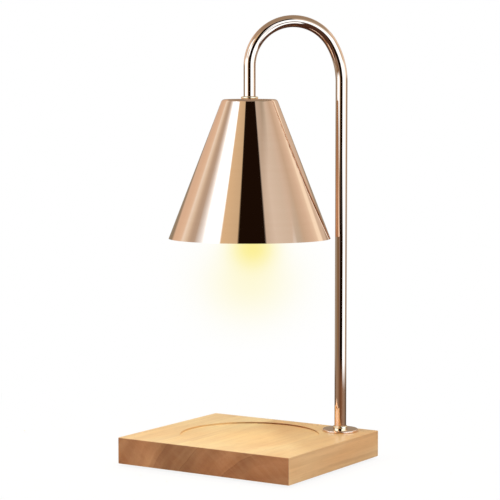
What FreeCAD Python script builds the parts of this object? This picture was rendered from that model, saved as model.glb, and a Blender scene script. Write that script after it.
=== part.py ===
import FreeCAD, Part
import math
import os
from types import SimpleNamespace

import Sketcher
from FreeCAD import Vector

# Candle warmer lamp: a wooden board with a round recess for a jar candle, a bent tube rising from its back right
# corner, and a conical shade with a twist-lock reflector bulb hanging over the recess.
# Frame: +Z up, the floor at Z 0, the shade's axis on the Z axis, the board's long side along X. Millimetres.

DRIVING_SIZES = {
    # board
    "base_width": 160,
    "base_depth": 140,
    "base_thick": 21.2,
    "base_edge_round": 0.8,
    "recess_dia": 112.5,
    "recess_depth": 1.2,
    # wiring cavity in the board's underside
    "cavity_length": 65,
    "cavity_width": 22,
    "cavity_corner": 6,
    "cavity_end_gap": 13,
    "cavity_side_gap": 10.2,
    "cavity_web": 5,
    # cover plate, its screws, and the feet
    "cover_thick": 2,
    "cover_inset": 5,
    "cover_gap": 0.3,
    "cover_corner": 3,
    "cover_screw_inset": 3.8,
    "cover_screw_length": 10,
    "cover_head_dia": 5.2,
    "cover_head_thick": 1.4,
    "wood_screw_dia": 2.8,
    "screw_head_edge": 0.5,
    "foot_dia": 12,
    "foot_thick": 2,
    "foot_edge": 0.5,
    "foot_inset": 22,
    # bush for a cord in the board's back edge
    "cord_dia": 5.6,
    "bush_dia": 9,
    "bush_flange_dia": 13,
    "bush_inner_dia": 11,
    "bush_flange_thick": 1.5,
    "bush_mouth": 0.3,
    "bush_from_cavity_end": 12,
    # two-way terminal in the cavity
    "terminal_length": 16,
    "terminal_width": 17,
    "terminal_height": 12,
    "terminal_corner": 1,
    "terminal_pitch": 8.4,
    "terminal_tube_dia": 4.4,
    "terminal_bore_dia": 2.4,
    "terminal_tube_inset": 0.8,
    "terminal_screw_dia": 2.6,
    "terminal_screw_spacing": 8,
    "terminal_screw_sink": 1,
    "terminal_head_thick": 1.3,
    "terminal_fixing_length": 12.5,
    # pole: the hook over the shade is tighter than a half circle, and the shoulder over the foot is wider
    "pole_from_right": 25.4,
    "pole_from_back": 18.2,
    "tube_dia": 9.6,
    "tube_bore": 8,
    "hook_tighter_by": 1.7,
    "shoulder_wider_by": 22.3,
    "neck_rise": 24,
    # foot of the pole
    "flange_dia": 29,
    "flange_thick": 2,
    "flange_rim_drop": 0.7,
    "flange_shoulder": 1.4,
    "ring_dia": 11.8,
    "ring_height": 2.6,
    "ring_round": 0.9,
    # hollow threaded rods, with their washers and nuts
    "nipple_bore": 5,
    "nipple_in_tube": 14,
    "nipple_past_nut": 0.6,
    "nipple_edge": 0.4,
    "clear_hole_dia": 8.3,
    "foot_washer_dia": 20,
    "washer_thick": 1.2,
    "nut_flats": 13,
    "nut_thick": 4,
    "nut_edge": 0.7,
    "nut_bevel": 1.05,
    # shade and its collar
    "rim_height": 158.2,
    "shade_height": 111,
    "rim_dia": 129.6,
    "crown_dia": 43.8,
    "crown_round": 3,
    "shade_wall": 0.8,
    "collar_dia": 13.8,
    "collar_height": 2.2,
    "collar_round": 0.9,
    "shade_washer_dia": 22,
    # strap bracket under the crown
    "bracket_height": 16.2,
    "bracket_span": 26,
    "bracket_width": 12,
    "bracket_thick": 1.2,
    "bracket_bend": 2.2,
    "bracket_foot": 7,
    # twist-lock lamp holder
    "holder_dia": 28,
    "holder_height": 16,
    "holder_edge": 1,
    "holder_screw_dia": 3,
    "holder_screw_spacing": 19,
    "holder_screw_past": 0.8,
    "holder_head_dia": 5.5,
    "holder_head_thick": 2.2,
    "holder_head_sink": 2.8,
    "pin_spacing": 10,
    "pin_dia": 2.6,
    "pin_head_dia": 5,
    "pin_head_thick": 2.5,
    "pin_head_edge": 0.3,
    "twist_angle": 22,
    "slot_shoulder": 2,
    "slot_gap": 0.35,
    "contact_dia": 4,
    "contact_thick": 0.8,
    # bulb
    "bulb_play": 0.3,
    "bulb_base_dia": 24,
    "bulb_base_height": 13,
    "bulb_base_taper": 1.4,
    "bulb_base_edge": 1,
    "reflector_dia": 50,
    "reflector_depth": 37,
    "reflector_wall": 1.3,
    "reflector_rim": 3.4,
    "reflector_rim_round": 1,
    "reflector_waist": 21,
    "reflector_neck_dia": 19,
    "reflector_neck": 5,
    "reflector_hole_dia": 12,
    "lens_thick": 2,
    "lens_seat": 1,
    "lens_seat_slope": 1,
    "lens_recess": 0.3,
    "capsule_dia": 9.2,
    "capsule_length": 21,
    "capsule_round": 4.1,
    # lead inside the pole
    "lead_dia": 4.4,
    "lead_run_gap": 0.4,
    "lead_run": 6,
    "core_dia": 1.8,
    "core_gap": 0.1,
    "core_sway": 9,
    "core_in_terminal": 4,
    # fits
    "fit_gap": 0.02,
    "loose_gap": 0.2,
}

doc = FreeCAD.newDocument("CandleWarmerLamp")
sheet = doc.addObject("Spreadsheet::Sheet", "Sizes")
sub_parts = []


class Size:
    """A number together with the sheet expression that it follows."""

    def __init__(self, value, text):
        self.value = value
        self.text = text

    def joined(self, sign, other, value, swapped=False):
        first, second = (as_size(other), self) if swapped else (self, as_size(other))
        return Size(value, f"({first.text} {sign} {second.text})")

    def __add__(self, other):
        return self.joined("+", other, self.value + as_size(other).value)

    def __radd__(self, other):
        return self.joined("+", other, as_size(other).value + self.value, True)

    def __sub__(self, other):
        return self.joined("-", other, self.value - as_size(other).value)

    def __rsub__(self, other):
        return self.joined("-", other, as_size(other).value - self.value, True)

    def __mul__(self, other):
        return self.joined("*", other, self.value * as_size(other).value)

    def __rmul__(self, other):
        return self.joined("*", other, as_size(other).value * self.value, True)

    def __truediv__(self, other):
        return self.joined("/", other, self.value / as_size(other).value)

    def __neg__(self):
        return Size(-self.value, f"(-1 * {self.text})")


def as_size(number):
    return number if isinstance(number, Size) else Size(number, str(number))


def root(size):
    return Size(math.sqrt(size.value), f"sqrt({size.text})")


def direction(across, along):
    angle = math.degrees(math.atan2(across.value, along.value))
    return Size(angle, f"atan2({across.text}; {along.text})")


def cosine(angle):
    return Size(math.cos(math.radians(angle.value)), f"cos({angle.text})")


def sine(angle):
    return Size(math.sin(math.radians(angle.value)), f"sin({angle.text})")


def fill_sheet():
    for row, (name, number) in enumerate(DRIVING_SIZES.items(), start=1):
        sheet.set(f"A{row}", name)
        sheet.set(f"B{row}", str(number))
        sheet.setAlias(f"B{row}", name)
    doc.recompute()
    return SimpleNamespace(**{name: Size(number, f"Sizes.{name}") for name, number in DRIVING_SIZES.items()})


# ---- building blocks


def bind(thing, field, size):
    thing.setExpression(field, as_size(size).text)


def place(thing, x=0, y=0, z=0, turn=None):
    for field, size in (("x", x), ("y", y), ("z", z)):
        bind(thing, f"Placement.Base.{field}", size)
    if turn is not None:
        thing.Placement.Rotation.Axis = Vector(0, 0, 1)
        bind(thing, "Placement.Rotation.Angle", turn)


def new_body(name, kept=True):
    body = doc.addObject("PartDesign::Body", name)
    body.Label = name
    if kept:
        sub_parts.append(body)
    return body


def origin_plane(body, role):
    return next(plane for plane in body.Origin.OriginFeatures if plane.Role == role)


def new_sketch(body, role="XZ_Plane", offset=0):
    sketch = body.newObject("Sketcher::SketchObject", f"{body.Name}_sketch")
    sketch.AttachmentSupport = [(origin_plane(body, role), "")]
    sketch.MapMode = "FlatFace"
    bind(sketch, "AttachmentOffset.Base.z", offset)
    return sketch


def hold_point(sketch, geometry, end, x, y):
    # a point's two coordinates, each bound to the sheet, or on the axis where it is nought
    for kind, size, axis in (("DistanceX", as_size(x), -2), ("DistanceY", as_size(y), -1)):
        if size.value == 0:
            sketch.addConstraint(Sketcher.Constraint("PointOnObject", geometry, end, axis))
            continue
        index = sketch.addConstraint(Sketcher.Constraint(kind, -1, 1, geometry, end, size.value))
        bind(sketch, f"Constraints[{index}]", size)


def hold_size(sketch, kind, geometry, size):
    index = sketch.addConstraint(Sketcher.Constraint(kind, geometry, as_size(size).value))
    bind(sketch, f"Constraints[{index}]", size)


def draw_circle(sketch, diameter, x=0, y=0):
    centre = Vector(as_size(x).value, as_size(y).value, 0)
    circle = sketch.addGeometry(Part.Circle(centre, Vector(0, 0, 1), diameter.value / 2))
    hold_point(sketch, circle, 3, x, y)
    hold_size(sketch, "Diameter", circle, diameter)


def rounded_corner(before, corner, after, radius):
    # where the arc leaves each side, its centre, and whether the outline turns left there
    back = (before - corner).normalize()
    ahead = (after - corner).normalize()
    half = back.getAngle(ahead) / 2
    reach = radius / math.tan(half)
    centre = corner + (back + ahead).normalize() * (radius / math.sin(half))
    return corner + back * reach, corner + ahead * reach, centre, back.cross(ahead).z < 0


def draw_outline(sketch, corners):
    # a closed outline through (x, y) corners; a third value rounds that corner
    points = [Vector(as_size(corner[0]).value, as_size(corner[1]).value, 0) for corner in corners]
    count = len(points)
    arrive, leave, arcs = list(points), list(points), {}
    for i, corner in enumerate(corners):
        if len(corner) == 3:
            radius = as_size(corner[2]).value
            before, after = points[i - 1], points[(i + 1) % count]
            arrive[i], leave[i], centre, left = rounded_corner(before, points[i], after, radius)
            arcs[i] = (centre, left, radius)
    sides = [sketch.addGeometry(Part.LineSegment(leave[i], arrive[(i + 1) % count])) for i in range(count)]
    for i, corner in enumerate(corners):
        side_in, side_out = sides[i - 1], sides[i]
        if i not in arcs:
            sketch.addConstraint(Sketcher.Constraint("Coincident", side_in, 2, side_out, 1))
            hold_point(sketch, side_out, 1, corner[0], corner[1])
            continue
        centre, left, radius = arcs[i]
        first, last = (arrive[i], leave[i]) if left else (leave[i], arrive[i])
        angles = [math.atan2(point.y - centre.y, point.x - centre.x) for point in (first, last)]
        circle = Part.Circle(centre, Vector(0, 0, 1), radius)
        arc = sketch.addGeometry(Part.ArcOfCircle(circle, *angles))
        first_end, last_end = (1, 2) if left else (2, 1)
        sketch.addConstraint(Sketcher.Constraint("Tangent", side_in, 2, arc, first_end))
        sketch.addConstraint(Sketcher.Constraint("Tangent", arc, last_end, side_out, 1))
        hold_size(sketch, "Radius", arc, corner[2])
        mark = sketch.addGeometry(Part.Point(points[i]), True)
        hold_point(sketch, mark, 1, corner[0], corner[1])
        sketch.addConstraint(Sketcher.Constraint("PointOnObject", mark, 1, side_in))
        sketch.addConstraint(Sketcher.Constraint("PointOnObject", mark, 1, side_out))


def draw_box(sketch, low_x, low_y, high_x, high_y, corner=None):
    rounding = () if corner is None else (corner,)
    sides = ((low_x, low_y), (high_x, low_y), (high_x, high_y), (low_x, high_y))
    draw_outline(sketch, [(*side, *rounding) for side in sides])


def add_feature(body, kind, sketch):
    feature = body.newObject(f"PartDesign::{kind}", f"{body.Name}_{kind.lower()}")
    feature.Profile = sketch
    return feature


def pad(body, sketch, height, both_ways=False):
    feature = add_feature(body, "Pad", sketch)
    feature.Midplane = both_ways
    bind(feature, "Length", height)
    return feature


def pocket(body, sketch, depth, against_normal=True):
    # cuts against the sketch's normal, or along it
    doc.recompute()
    before = body.Shape.Volume
    feature = add_feature(body, "Pocket", sketch)
    feature.Reversed = not against_normal
    bind(feature, "Length", depth)
    return checked_cut(body, feature, before)


def revolve(body, sketch):
    feature = add_feature(body, "Revolution", sketch)
    feature.ReferenceAxis = (sketch, ["V_Axis"])
    feature.Angle = 360
    return feature


def groove(body, sketch):
    doc.recompute()
    before = body.Shape.Volume
    feature = add_feature(body, "Groove", sketch)
    feature.ReferenceAxis = (sketch, ["V_Axis"])
    feature.Angle = 360
    return checked_cut(body, feature, before)


def checked_cut(body, feature, before):
    doc.recompute()
    if not body.Shape.Volume < before:
        raise RuntimeError(f"{feature.Name} cuts nothing")
    return feature


def turned(name, corners, kept=True):
    # a round piece from half its section, as (radius, height) corners
    body = new_body(name, kept)
    sketch = new_sketch(body)
    draw_outline(sketch, corners)
    revolve(body, sketch)
    return body


def ring(name, bore, diameter, low, high, **kept):
    return turned(name, [(bore / 2, low), (diameter / 2, low), (diameter / 2, high), (bore / 2, high)], **kept)


def copies(name, master, places, turns=None):
    # one node with a separate solid of the same piece at each place
    links = []
    for i, (x, y, z) in enumerate(places):
        link = doc.addObject("App::Link", f"{name}_{i + 1}")
        link.LinkedObject = master
        link.LinkTransform = True
        place(link, x, y, z, None if turns is None else turns[i])
        links.append(link)
    group = doc.addObject("Part::Compound", name)
    group.Label = name
    group.Links = links
    sub_parts.append(group)
    return group


def turned_about_pole(thing, z=0):
    place(thing, pole_x, pole_y, z, arm_angle)


# ---- heights and places that several pieces share

s = fill_sheet()

board_low = s.foot_thick
board_top = board_low + s.base_thick
cavity_floor = board_low + s.cover_thick
cavity_roof = board_top - s.cavity_web
recess_floor = board_top - s.recess_depth

pole_x = s.base_width / 2 - s.pole_from_right
pole_y = s.base_depth / 2 - s.pole_from_back
reach = root(pole_x * pole_x + pole_y * pole_y)
arm_angle = direction(pole_y, pole_x)
cavity_right = pole_x + s.cavity_end_gap
cavity_left = cavity_right - s.cavity_length
cavity_back = pole_y + s.cavity_side_gap
cavity_front = cavity_back - s.cavity_width
bush_x = cavity_left + s.bush_from_cavity_end
bush_z = (cavity_floor + cavity_roof) / 2

nipple_dia = s.tube_bore - 2 * s.fit_gap
flange_top = board_top + s.flange_thick
foot_nut_low = cavity_roof - s.washer_thick - s.nut_thick
foot_nipple_low = foot_nut_low - s.nipple_past_nut

rim_z = board_top + s.rim_height
shade_top = rim_z + s.shade_height
shade_ceiling = shade_top - s.shade_wall
collar_top = shade_top + s.collar_height
spring_z = collar_top + s.neck_rise
hook_radius = reach / 2 - s.hook_tighter_by
shoulder_radius = reach / 2 + s.shoulder_wider_by
hook_offset = hook_radius + shoulder_radius - reach
radius_step = shoulder_radius - hook_radius
shoulder_z = spring_z - root(radius_step * radius_step - hook_offset * hook_offset)

bracket_top = shade_ceiling - s.washer_thick
holder_top = bracket_top - s.bracket_height
head_nut_low = bracket_top - s.bracket_thick - s.nut_thick
head_nipple_low = head_nut_low - s.nipple_past_nut
holder_low = holder_top - s.holder_height
pin_head_low = holder_low + s.slot_shoulder + s.bulb_play
pin_head_top = pin_head_low + s.pin_head_thick
contact_low = pin_head_top + s.bulb_play
chamber_roof = contact_low + s.contact_thick
bulb_top = holder_low - s.bulb_play
neck_seat = bulb_top - s.bulb_base_height + s.reflector_neck
bulb_base_low = bulb_top - s.bulb_base_height
bulb_face = bulb_base_low - s.reflector_depth

lead_run_z = cavity_floor + s.lead_run_gap + s.lead_dia / 2
lead_bend = foot_nipple_low - lead_run_z
lead_end_x = pole_x - lead_bend - s.lead_run
terminal_right = lead_end_x - s.core_sway
terminal_left = terminal_right - s.terminal_length
terminal_low = cavity_roof - s.terminal_height
terminal_mid_x = terminal_right - s.terminal_length / 2
terminal_mid_z = (terminal_low + cavity_roof) / 2
core_start = (s.core_dia + s.core_gap) / 2


# ---- the board and what is under it


def wood_base():
    body = new_body("wood_base")
    half_width, half_depth = s.base_width / 2, s.base_depth / 2

    board = new_sketch(body, "XY_Plane", board_low)
    draw_box(board, -half_width, -half_depth, half_width, half_depth)
    block = pad(body, board, s.base_thick)
    doc.recompute()
    edges = body.newObject("PartDesign::Fillet", "board_edges")
    edges.Base = (block, [])
    edges.UseAllEdges = True
    bind(edges, "Radius", s.base_edge_round)

    recess = new_sketch(body, "XY_Plane", board_top)
    draw_circle(recess, s.recess_dia)
    pocket(body, recess, s.recess_depth)

    cover_seat = new_sketch(body, "XY_Plane", board_low)
    seat_x, seat_y = half_width - s.cover_inset, half_depth - s.cover_inset
    draw_box(cover_seat, -seat_x, -seat_y, seat_x, seat_y, s.cover_corner)
    pocket(body, cover_seat, s.cover_thick, against_normal=False)

    cavity = new_sketch(body, "XY_Plane", cavity_floor)
    draw_box(cavity, cavity_left, cavity_front, cavity_right, cavity_back, s.cavity_corner)
    pocket(body, cavity, cavity_roof - cavity_floor, against_normal=False)

    pole_hole = new_sketch(body, "XY_Plane", board_top)
    draw_circle(pole_hole, s.clear_hole_dia, pole_x, pole_y)
    pocket(body, pole_hole, s.cavity_web)

    # the bush's hole runs from the back edge into the cavity, with a seat for its outer flange
    for diameter, depth in (
        (s.bush_dia, half_depth - cavity_back),
        (s.bush_flange_dia, s.bush_flange_thick),
    ):
        hole = new_sketch(body, "XZ_Plane", -half_depth)
        draw_circle(hole, diameter, bush_x, bush_z)
        pocket(body, hole, depth, against_normal=False)

    pilots = new_sketch(body, "XY_Plane", cavity_floor)
    for x, y in cover_screw_places():
        draw_circle(pilots, s.wood_screw_dia + 2 * s.fit_gap, x, y)
    pocket(body, pilots, s.cover_screw_length - s.cover_thick, against_normal=False)

    fixing_pilot = new_sketch(body, "XY_Plane", cavity_roof)
    draw_circle(fixing_pilot, s.terminal_screw_dia + 2 * s.fit_gap, terminal_mid_x, pole_y)
    pocket(body, fixing_pilot, terminal_fixing_top() - cavity_roof, against_normal=False)


def cover_screw_places():
    x = s.base_width / 2 - s.cover_inset - s.cover_screw_inset
    y = s.base_depth / 2 - s.cover_inset - s.cover_screw_inset
    return [(x * side_x, y * side_y) for side_x in (-1, 1) for side_y in (-1, 1)]


def screw(name, shank, length, head, head_thick):
    # a pan-head screw standing on its head at Z 0
    return turned(
        name,
        [
            (0, 0),
            (head / 2 - s.screw_head_edge, 0),
            (head / 2, s.screw_head_edge),
            (head / 2, head_thick),
            (shank / 2, head_thick),
            (shank / 2, length),
            (0, length),
        ],
        kept=False,
    )


def bottom_cover():
    body = new_body("bottom_cover")
    plate = new_sketch(body, "XY_Plane", board_low)
    half_x = s.base_width / 2 - s.cover_inset - s.cover_gap
    half_y = s.base_depth / 2 - s.cover_inset - s.cover_gap
    draw_box(plate, -half_x, -half_y, half_x, half_y, s.cover_corner)
    pad(body, plate, s.cover_thick)
    for diameter, depth in (
        (s.wood_screw_dia + 2 * s.loose_gap, s.cover_thick),
        (s.cover_head_dia + 2 * s.loose_gap, s.cover_head_thick),
    ):
        holes = new_sketch(body, "XY_Plane", board_low)
        for x, y in cover_screw_places():
            draw_circle(holes, diameter, x, y)
        pocket(body, holes, depth, against_normal=False)


def cover_screws():
    master = screw("cover_screw", s.wood_screw_dia, s.cover_screw_length, s.cover_head_dia, s.cover_head_thick)
    copies("cover_screws", master, [(x, y, board_low) for x, y in cover_screw_places()])


def feet():
    for end, side_y in (("front", -1), ("back", 1)):
        for hand, side_x in (("left", -1), ("right", 1)):
            radius, edge, thick = s.foot_dia / 2, s.foot_edge, s.foot_thick
            section = [(0, 0), (radius - edge, 0), (radius, edge), (radius, thick), (0, thick)]
            foot = turned(f"foot_{end}_{hand}", section)
            place(foot, (s.base_width / 2 - s.foot_inset) * side_x, (s.base_depth / 2 - s.foot_inset) * side_y)


def cord_grommet():
    # a spool with its axis along Y: outer flange flush with the back edge, inner flange inside the cavity
    length = s.base_depth / 2 - cavity_back
    outer, inner = s.bush_flange_dia / 2 - s.fit_gap, s.bush_inner_dia / 2
    waist, bore, mouth = s.bush_dia / 2 - s.fit_gap, s.cord_dia / 2, s.bush_mouth
    end = length + s.bush_flange_thick
    body = turned(
        "cord_grommet",
        [
            (bore + mouth, 0),
            (outer, 0),
            (outer, s.bush_flange_thick),
            (waist, s.bush_flange_thick),
            (waist, length),
            (inner, length),
            (inner, end),
            (bore + mouth, end),
            (bore, end - mouth),
            (bore, mouth),
        ],
    )
    place(body, bush_x, s.base_depth / 2, bush_z)
    body.Placement.Rotation = FreeCAD.Rotation(Vector(1, 0, 0), 90)


# ---- the terminal and the lead


def terminal_places():
    return [pole_y - s.terminal_pitch / 2, pole_y + s.terminal_pitch / 2]


def terminal_screw_places():
    middle = terminal_mid_x
    return [
        (middle + s.terminal_screw_spacing / 2 * side, y)
        for y in terminal_places()
        for side in (-1, 1)
    ]


def terminal_fixing_top():
    return terminal_low + s.terminal_screw_sink + s.terminal_fixing_length


def terminal_block():
    body = new_body("terminal_block")
    block = new_sketch(body, "XY_Plane", terminal_low)
    low_y, high_y = pole_y - s.terminal_width / 2, pole_y + s.terminal_width / 2
    draw_box(block, terminal_left, low_y, terminal_right, high_y, s.terminal_corner)
    pad(body, block, s.terminal_height)

    bores = new_sketch(body, "YZ_Plane", terminal_left)
    for y in terminal_places():
        draw_circle(bores, s.terminal_tube_dia + 2 * s.fit_gap, y, terminal_mid_z)
    pocket(body, bores, s.terminal_length, against_normal=False)

    wells = new_sketch(body, "XY_Plane", terminal_low)
    for x, y in terminal_screw_places():
        draw_circle(wells, s.terminal_screw_dia + 2 * s.loose_gap, x, y)
    pocket(body, wells, terminal_mid_z - terminal_low, against_normal=False)

    head_well = new_sketch(body, "XY_Plane", terminal_low)
    draw_circle(head_well, terminal_fixing_head() + 2 * s.fit_gap, terminal_mid_x, pole_y)
    pocket(body, head_well, s.terminal_screw_sink + s.terminal_head_thick, against_normal=False)

    fixing_hole = new_sketch(body, "XY_Plane", terminal_low)
    draw_circle(fixing_hole, s.terminal_screw_dia + 2 * s.fit_gap, terminal_mid_x, pole_y)
    pocket(body, fixing_hole, s.terminal_height, against_normal=False)


def terminal_fixing_head():
    # as wide as the wall between the two brass tubes leaves room for
    return s.terminal_pitch - s.terminal_tube_dia - 2 * s.loose_gap


def terminal_fixing():
    master = screw(
        "terminal_fixing_screw",
        s.terminal_screw_dia,
        s.terminal_fixing_length,
        terminal_fixing_head(),
        s.terminal_head_thick,
    )
    copies("terminal_fixing", master, [(terminal_mid_x, pole_y, terminal_low + s.terminal_screw_sink)])


def terminal_tubes():
    length = s.terminal_length - 2 * s.terminal_tube_inset
    master = ring("terminal_tube", s.terminal_bore_dia, s.terminal_tube_dia, as_size(0), length, kept=False)
    master.Placement.Rotation = FreeCAD.Rotation(Vector(0, 1, 0), 90)
    left = terminal_left + s.terminal_tube_inset
    copies("terminal_tubes", master, [(left, y, terminal_mid_z) for y in terminal_places()])


def terminal_screws():
    # clamp screws, their tips on the brass tubes
    low = terminal_low + s.terminal_screw_sink
    length = terminal_mid_z - s.terminal_tube_dia / 2 - s.fit_gap - low
    radius = s.terminal_screw_dia / 2
    master = turned("terminal_screw", [(0, 0), (radius, 0), (radius, length), (0, length)], kept=False)
    copies("terminal_screws", master, [(x, y, low) for x, y in terminal_screw_places()])


def arc_edge(first, middle, last):
    return Part.Arc(first, middle, last).toShape()


def line_edge(first, last):
    return Part.LineSegment(first, last).toShape()


def along(path, diameter):
    # a solid round rod along a wire of lines and tangent arcs
    start = path.Edges[0]
    section = Part.Circle(start.valueAt(start.FirstParameter), start.tangentAt(start.FirstParameter), diameter / 2)
    return path.makePipeShell([Part.Wire(section.toShape())], True, False)


def shape_feature(name, shape):
    feature = doc.addObject("Part::Feature", name)
    feature.Label = name
    feature.Shape = shape
    sub_parts.append(feature)
    return feature


def swaying_core(start, heading, sway, length, straight):
    # leaves along heading, sways sideways in two equal arcs, then runs straight
    offset = sway.Length
    radius = (length**2 + offset**2) / (4 * offset)
    aside = sway.normalize()
    turn = math.asin(length / 2 / radius)
    middle = start + heading * (length / 2) + aside * (offset / 2)
    end = start + heading * length + aside * offset
    bow_along = radius * math.sin(turn / 2)
    bow_aside = radius * (1 - math.cos(turn / 2))
    first_bow = start + heading * bow_along + aside * bow_aside
    second_bow = end - heading * bow_along - aside * bow_aside
    return Part.Wire([
        arc_edge(start, first_bow, middle),
        arc_edge(middle, second_bow, end),
        line_edge(end, end + heading * straight),
    ])


def base_cores():
    cores = []
    for side, entry_y in zip((-1, 1), terminal_places()):
        start = Vector(lead_end_x.value, pole_y.value + side * core_start.value, lead_run_z.value)
        sway = Vector(0, entry_y.value - start.y, terminal_mid_z.value - start.z)
        path = swaying_core(start, Vector(-1, 0, 0), sway, s.core_sway.value, s.core_in_terminal.value)
        cores.append(along(path, s.core_dia.value))
    shape_feature("base_cores", Part.makeCompound(cores))


def head_cores():
    cores = []
    length = head_nipple_low.value - holder_top.value
    straight = holder_top.value - chamber_roof.value
    for side in (-1, 1):
        start = Vector(side * core_start.value, 0, head_nipple_low.value)
        sway = Vector(side * (s.pin_spacing.value / 2 - core_start.value), 0, 0)
        path = swaying_core(start, Vector(0, 0, -1), sway, length, straight)
        cores.append(along(path, s.core_dia.value))
    shape_feature("head_cores", Part.makeCompound(cores))


def lamp_lead():
    # down the middle of the pole from the lamp holder, out of the foot's rod and along the cavity
    across = Vector(pole_x.value, pole_y.value, 0).normalize()
    up = Vector(0, 0, 1)

    def in_plane(distance, height):
        return across * distance + up * height

    hook, shoulder = hook_radius.value, shoulder_radius.value
    hook_centre = in_plane(hook, spring_z.value)
    shoulder_centre = in_plane(reach.value - shoulder, shoulder_z.value)
    meeting = (hook_centre - shoulder_centre).normalize()
    join = hook_centre + meeting * hook
    halfway = shoulder_centre + (meeting + across).normalize() * shoulder
    shoulder_end = in_plane(reach.value, shoulder_z.value)
    foot = in_plane(reach.value, foot_nipple_low.value)
    bend = lead_bend.value
    bend_centre = foot + Vector(-bend, 0, 0)
    bend_end = bend_centre - up * bend
    path = Part.Wire([
        line_edge(up * head_nipple_low.value, up * spring_z.value),
        arc_edge(up * spring_z.value, hook_centre + up * hook, join),
        arc_edge(join, halfway, shoulder_end),
        line_edge(shoulder_end, foot),
        arc_edge(foot, bend_centre + Vector(1, 0, -1).normalize() * bend, bend_end),
        line_edge(bend_end, bend_end - Vector(s.lead_run.value, 0, 0)),
    ])
    shape_feature("lamp_lead", along(path, s.lead_dia.value))


# ---- the pole and its foot


def pole_tube():
    # one tube bent over in two tangent arcs, the tighter one over the shade
    body = new_body("pole_tube")
    path = new_sketch(body)
    up = Vector(0, 0, 1)
    hook_centre = Vector(hook_radius.value, spring_z.value, 0)
    shoulder_centre = Vector((reach - shoulder_radius).value, shoulder_z.value, 0)
    join_angle = math.atan2(hook_centre.y - shoulder_centre.y, hook_centre.x - shoulder_centre.x)
    head = Vector(0, collar_top.value, 0)
    spring = Vector(0, spring_z.value, 0)
    shoulder = Vector(reach.value, shoulder_z.value, 0)
    foot = Vector(reach.value, flange_top.value, 0)
    hook_circle = Part.Circle(hook_centre, up, hook_radius.value)
    shoulder_circle = Part.Circle(shoulder_centre, up, shoulder_radius.value)
    rise = path.addGeometry(Part.LineSegment(head, spring))
    hook = path.addGeometry(Part.ArcOfCircle(hook_circle, join_angle, math.pi))
    bend = path.addGeometry(Part.ArcOfCircle(shoulder_circle, 0, join_angle))
    fall = path.addGeometry(Part.LineSegment(shoulder, foot))
    hold_point(path, rise, 1, 0, collar_top)
    hold_point(path, rise, 2, 0, spring_z)
    path.addConstraint(Sketcher.Constraint("Tangent", rise, 2, hook, 2))
    path.addConstraint(Sketcher.Constraint("Tangent", hook, 1, bend, 2))
    path.addConstraint(Sketcher.Constraint("Tangent", bend, 1, fall, 1))
    hold_size(path, "Radius", hook, hook_radius)
    hold_size(path, "Radius", bend, shoulder_radius)
    path.addConstraint(Sketcher.Constraint("Vertical", fall))
    hold_point(path, fall, 2, reach, flange_top)

    section = new_sketch(body, "XY_Plane", collar_top)
    draw_circle(section, s.tube_dia)
    draw_circle(section, s.tube_bore)
    pipe = add_feature(body, "AdditivePipe", section)
    pipe.Spine = (path, ["Edge1", "Edge2", "Edge3", "Edge4"])
    place(body, turn=arm_angle)


def pole_flange():
    rim, hole = s.flange_dia / 2, s.clear_hole_dia / 2
    body = turned(
        "pole_flange",
        [
            (hole, 0),
            (rim, 0),
            (rim, s.flange_thick - s.flange_rim_drop),
            (rim - s.flange_shoulder, s.flange_thick, s.flange_shoulder),
            (hole, s.flange_thick),
        ],
    )
    turned_about_pole(body, board_top)


def foot_ring():
    bore, rim = s.tube_dia / 2 + s.fit_gap, s.ring_dia / 2
    body = turned(
        "foot_ring",
        [(bore, 0), (rim, 0), (rim, s.ring_height, s.ring_round), (bore, s.ring_height)],
    )
    turned_about_pole(body, flange_top)


def nipple(name, low, high):
    bore, radius, edge = s.nipple_bore / 2, nipple_dia / 2, s.nipple_edge
    return turned(
        name,
        [
            (bore, low),
            (radius - edge, low),
            (radius, low + edge),
            (radius, high - edge),
            (radius - edge, high),
            (bore, high),
        ],
    )


def hex_nut(name):
    # six flats with the corners turned off at both faces, standing on Z 0
    body = new_body(name)
    hexagon = new_sketch(body, "XY_Plane")
    corner = s.nut_flats / root(as_size(3))
    half = s.nut_flats / 2
    draw_outline(hexagon, [
        (corner, 0),
        (corner / 2, half),
        (-corner / 2, half),
        (-corner, 0),
        (-corner / 2, -half),
        (corner / 2, -half),
    ])
    pad(body, hexagon, s.nut_thick)
    hole = new_sketch(body, "XY_Plane", s.nut_thick)
    draw_circle(hole, s.tube_bore)
    pocket(body, hole, s.nut_thick)
    for face, inward in ((0, 1), (s.nut_thick, -1)):
        bevel = new_sketch(body)
        draw_outline(bevel, [
            (half, face),
            (corner + s.nut_edge, face),
            (corner + s.nut_edge, face + s.nut_bevel * inward),
        ])
        groove(body, bevel)
    return body


def foot_fastening():
    turned_about_pole(nipple("foot_nipple", foot_nipple_low, flange_top + s.nipple_in_tube))
    washer = ring("foot_washer", s.clear_hole_dia, s.foot_washer_dia, cavity_roof - s.washer_thick, cavity_roof)
    turned_about_pole(washer)
    place(hex_nut("foot_nut"), pole_x, pole_y, foot_nut_low)


# ---- the shade and what hangs under its crown


def shade():
    rise = s.shade_height
    spread = (s.rim_dia - s.crown_dia) / 2
    slant = root(rise * rise + spread * spread)
    across_wall = s.shade_wall * slant / rise
    crown_inner = s.crown_dia / 2 + s.shade_wall * spread / rise - across_wall
    hole = s.clear_hole_dia / 2
    turned(
        "shade",
        [
            (hole, shade_ceiling),
            (crown_inner, shade_ceiling, s.crown_round - s.shade_wall),
            (s.rim_dia / 2 - across_wall, rim_z),
            (s.rim_dia / 2, rim_z),
            (s.crown_dia / 2, shade_top, s.crown_round),
            (hole, shade_top),
        ],
    )


def top_collar():
    bore, rim = s.clear_hole_dia / 2, s.collar_dia / 2
    section = [(bore, shade_top), (rim, shade_top), (rim, collar_top, s.collar_round), (bore, collar_top)]
    turned("top_collar", section)


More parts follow.
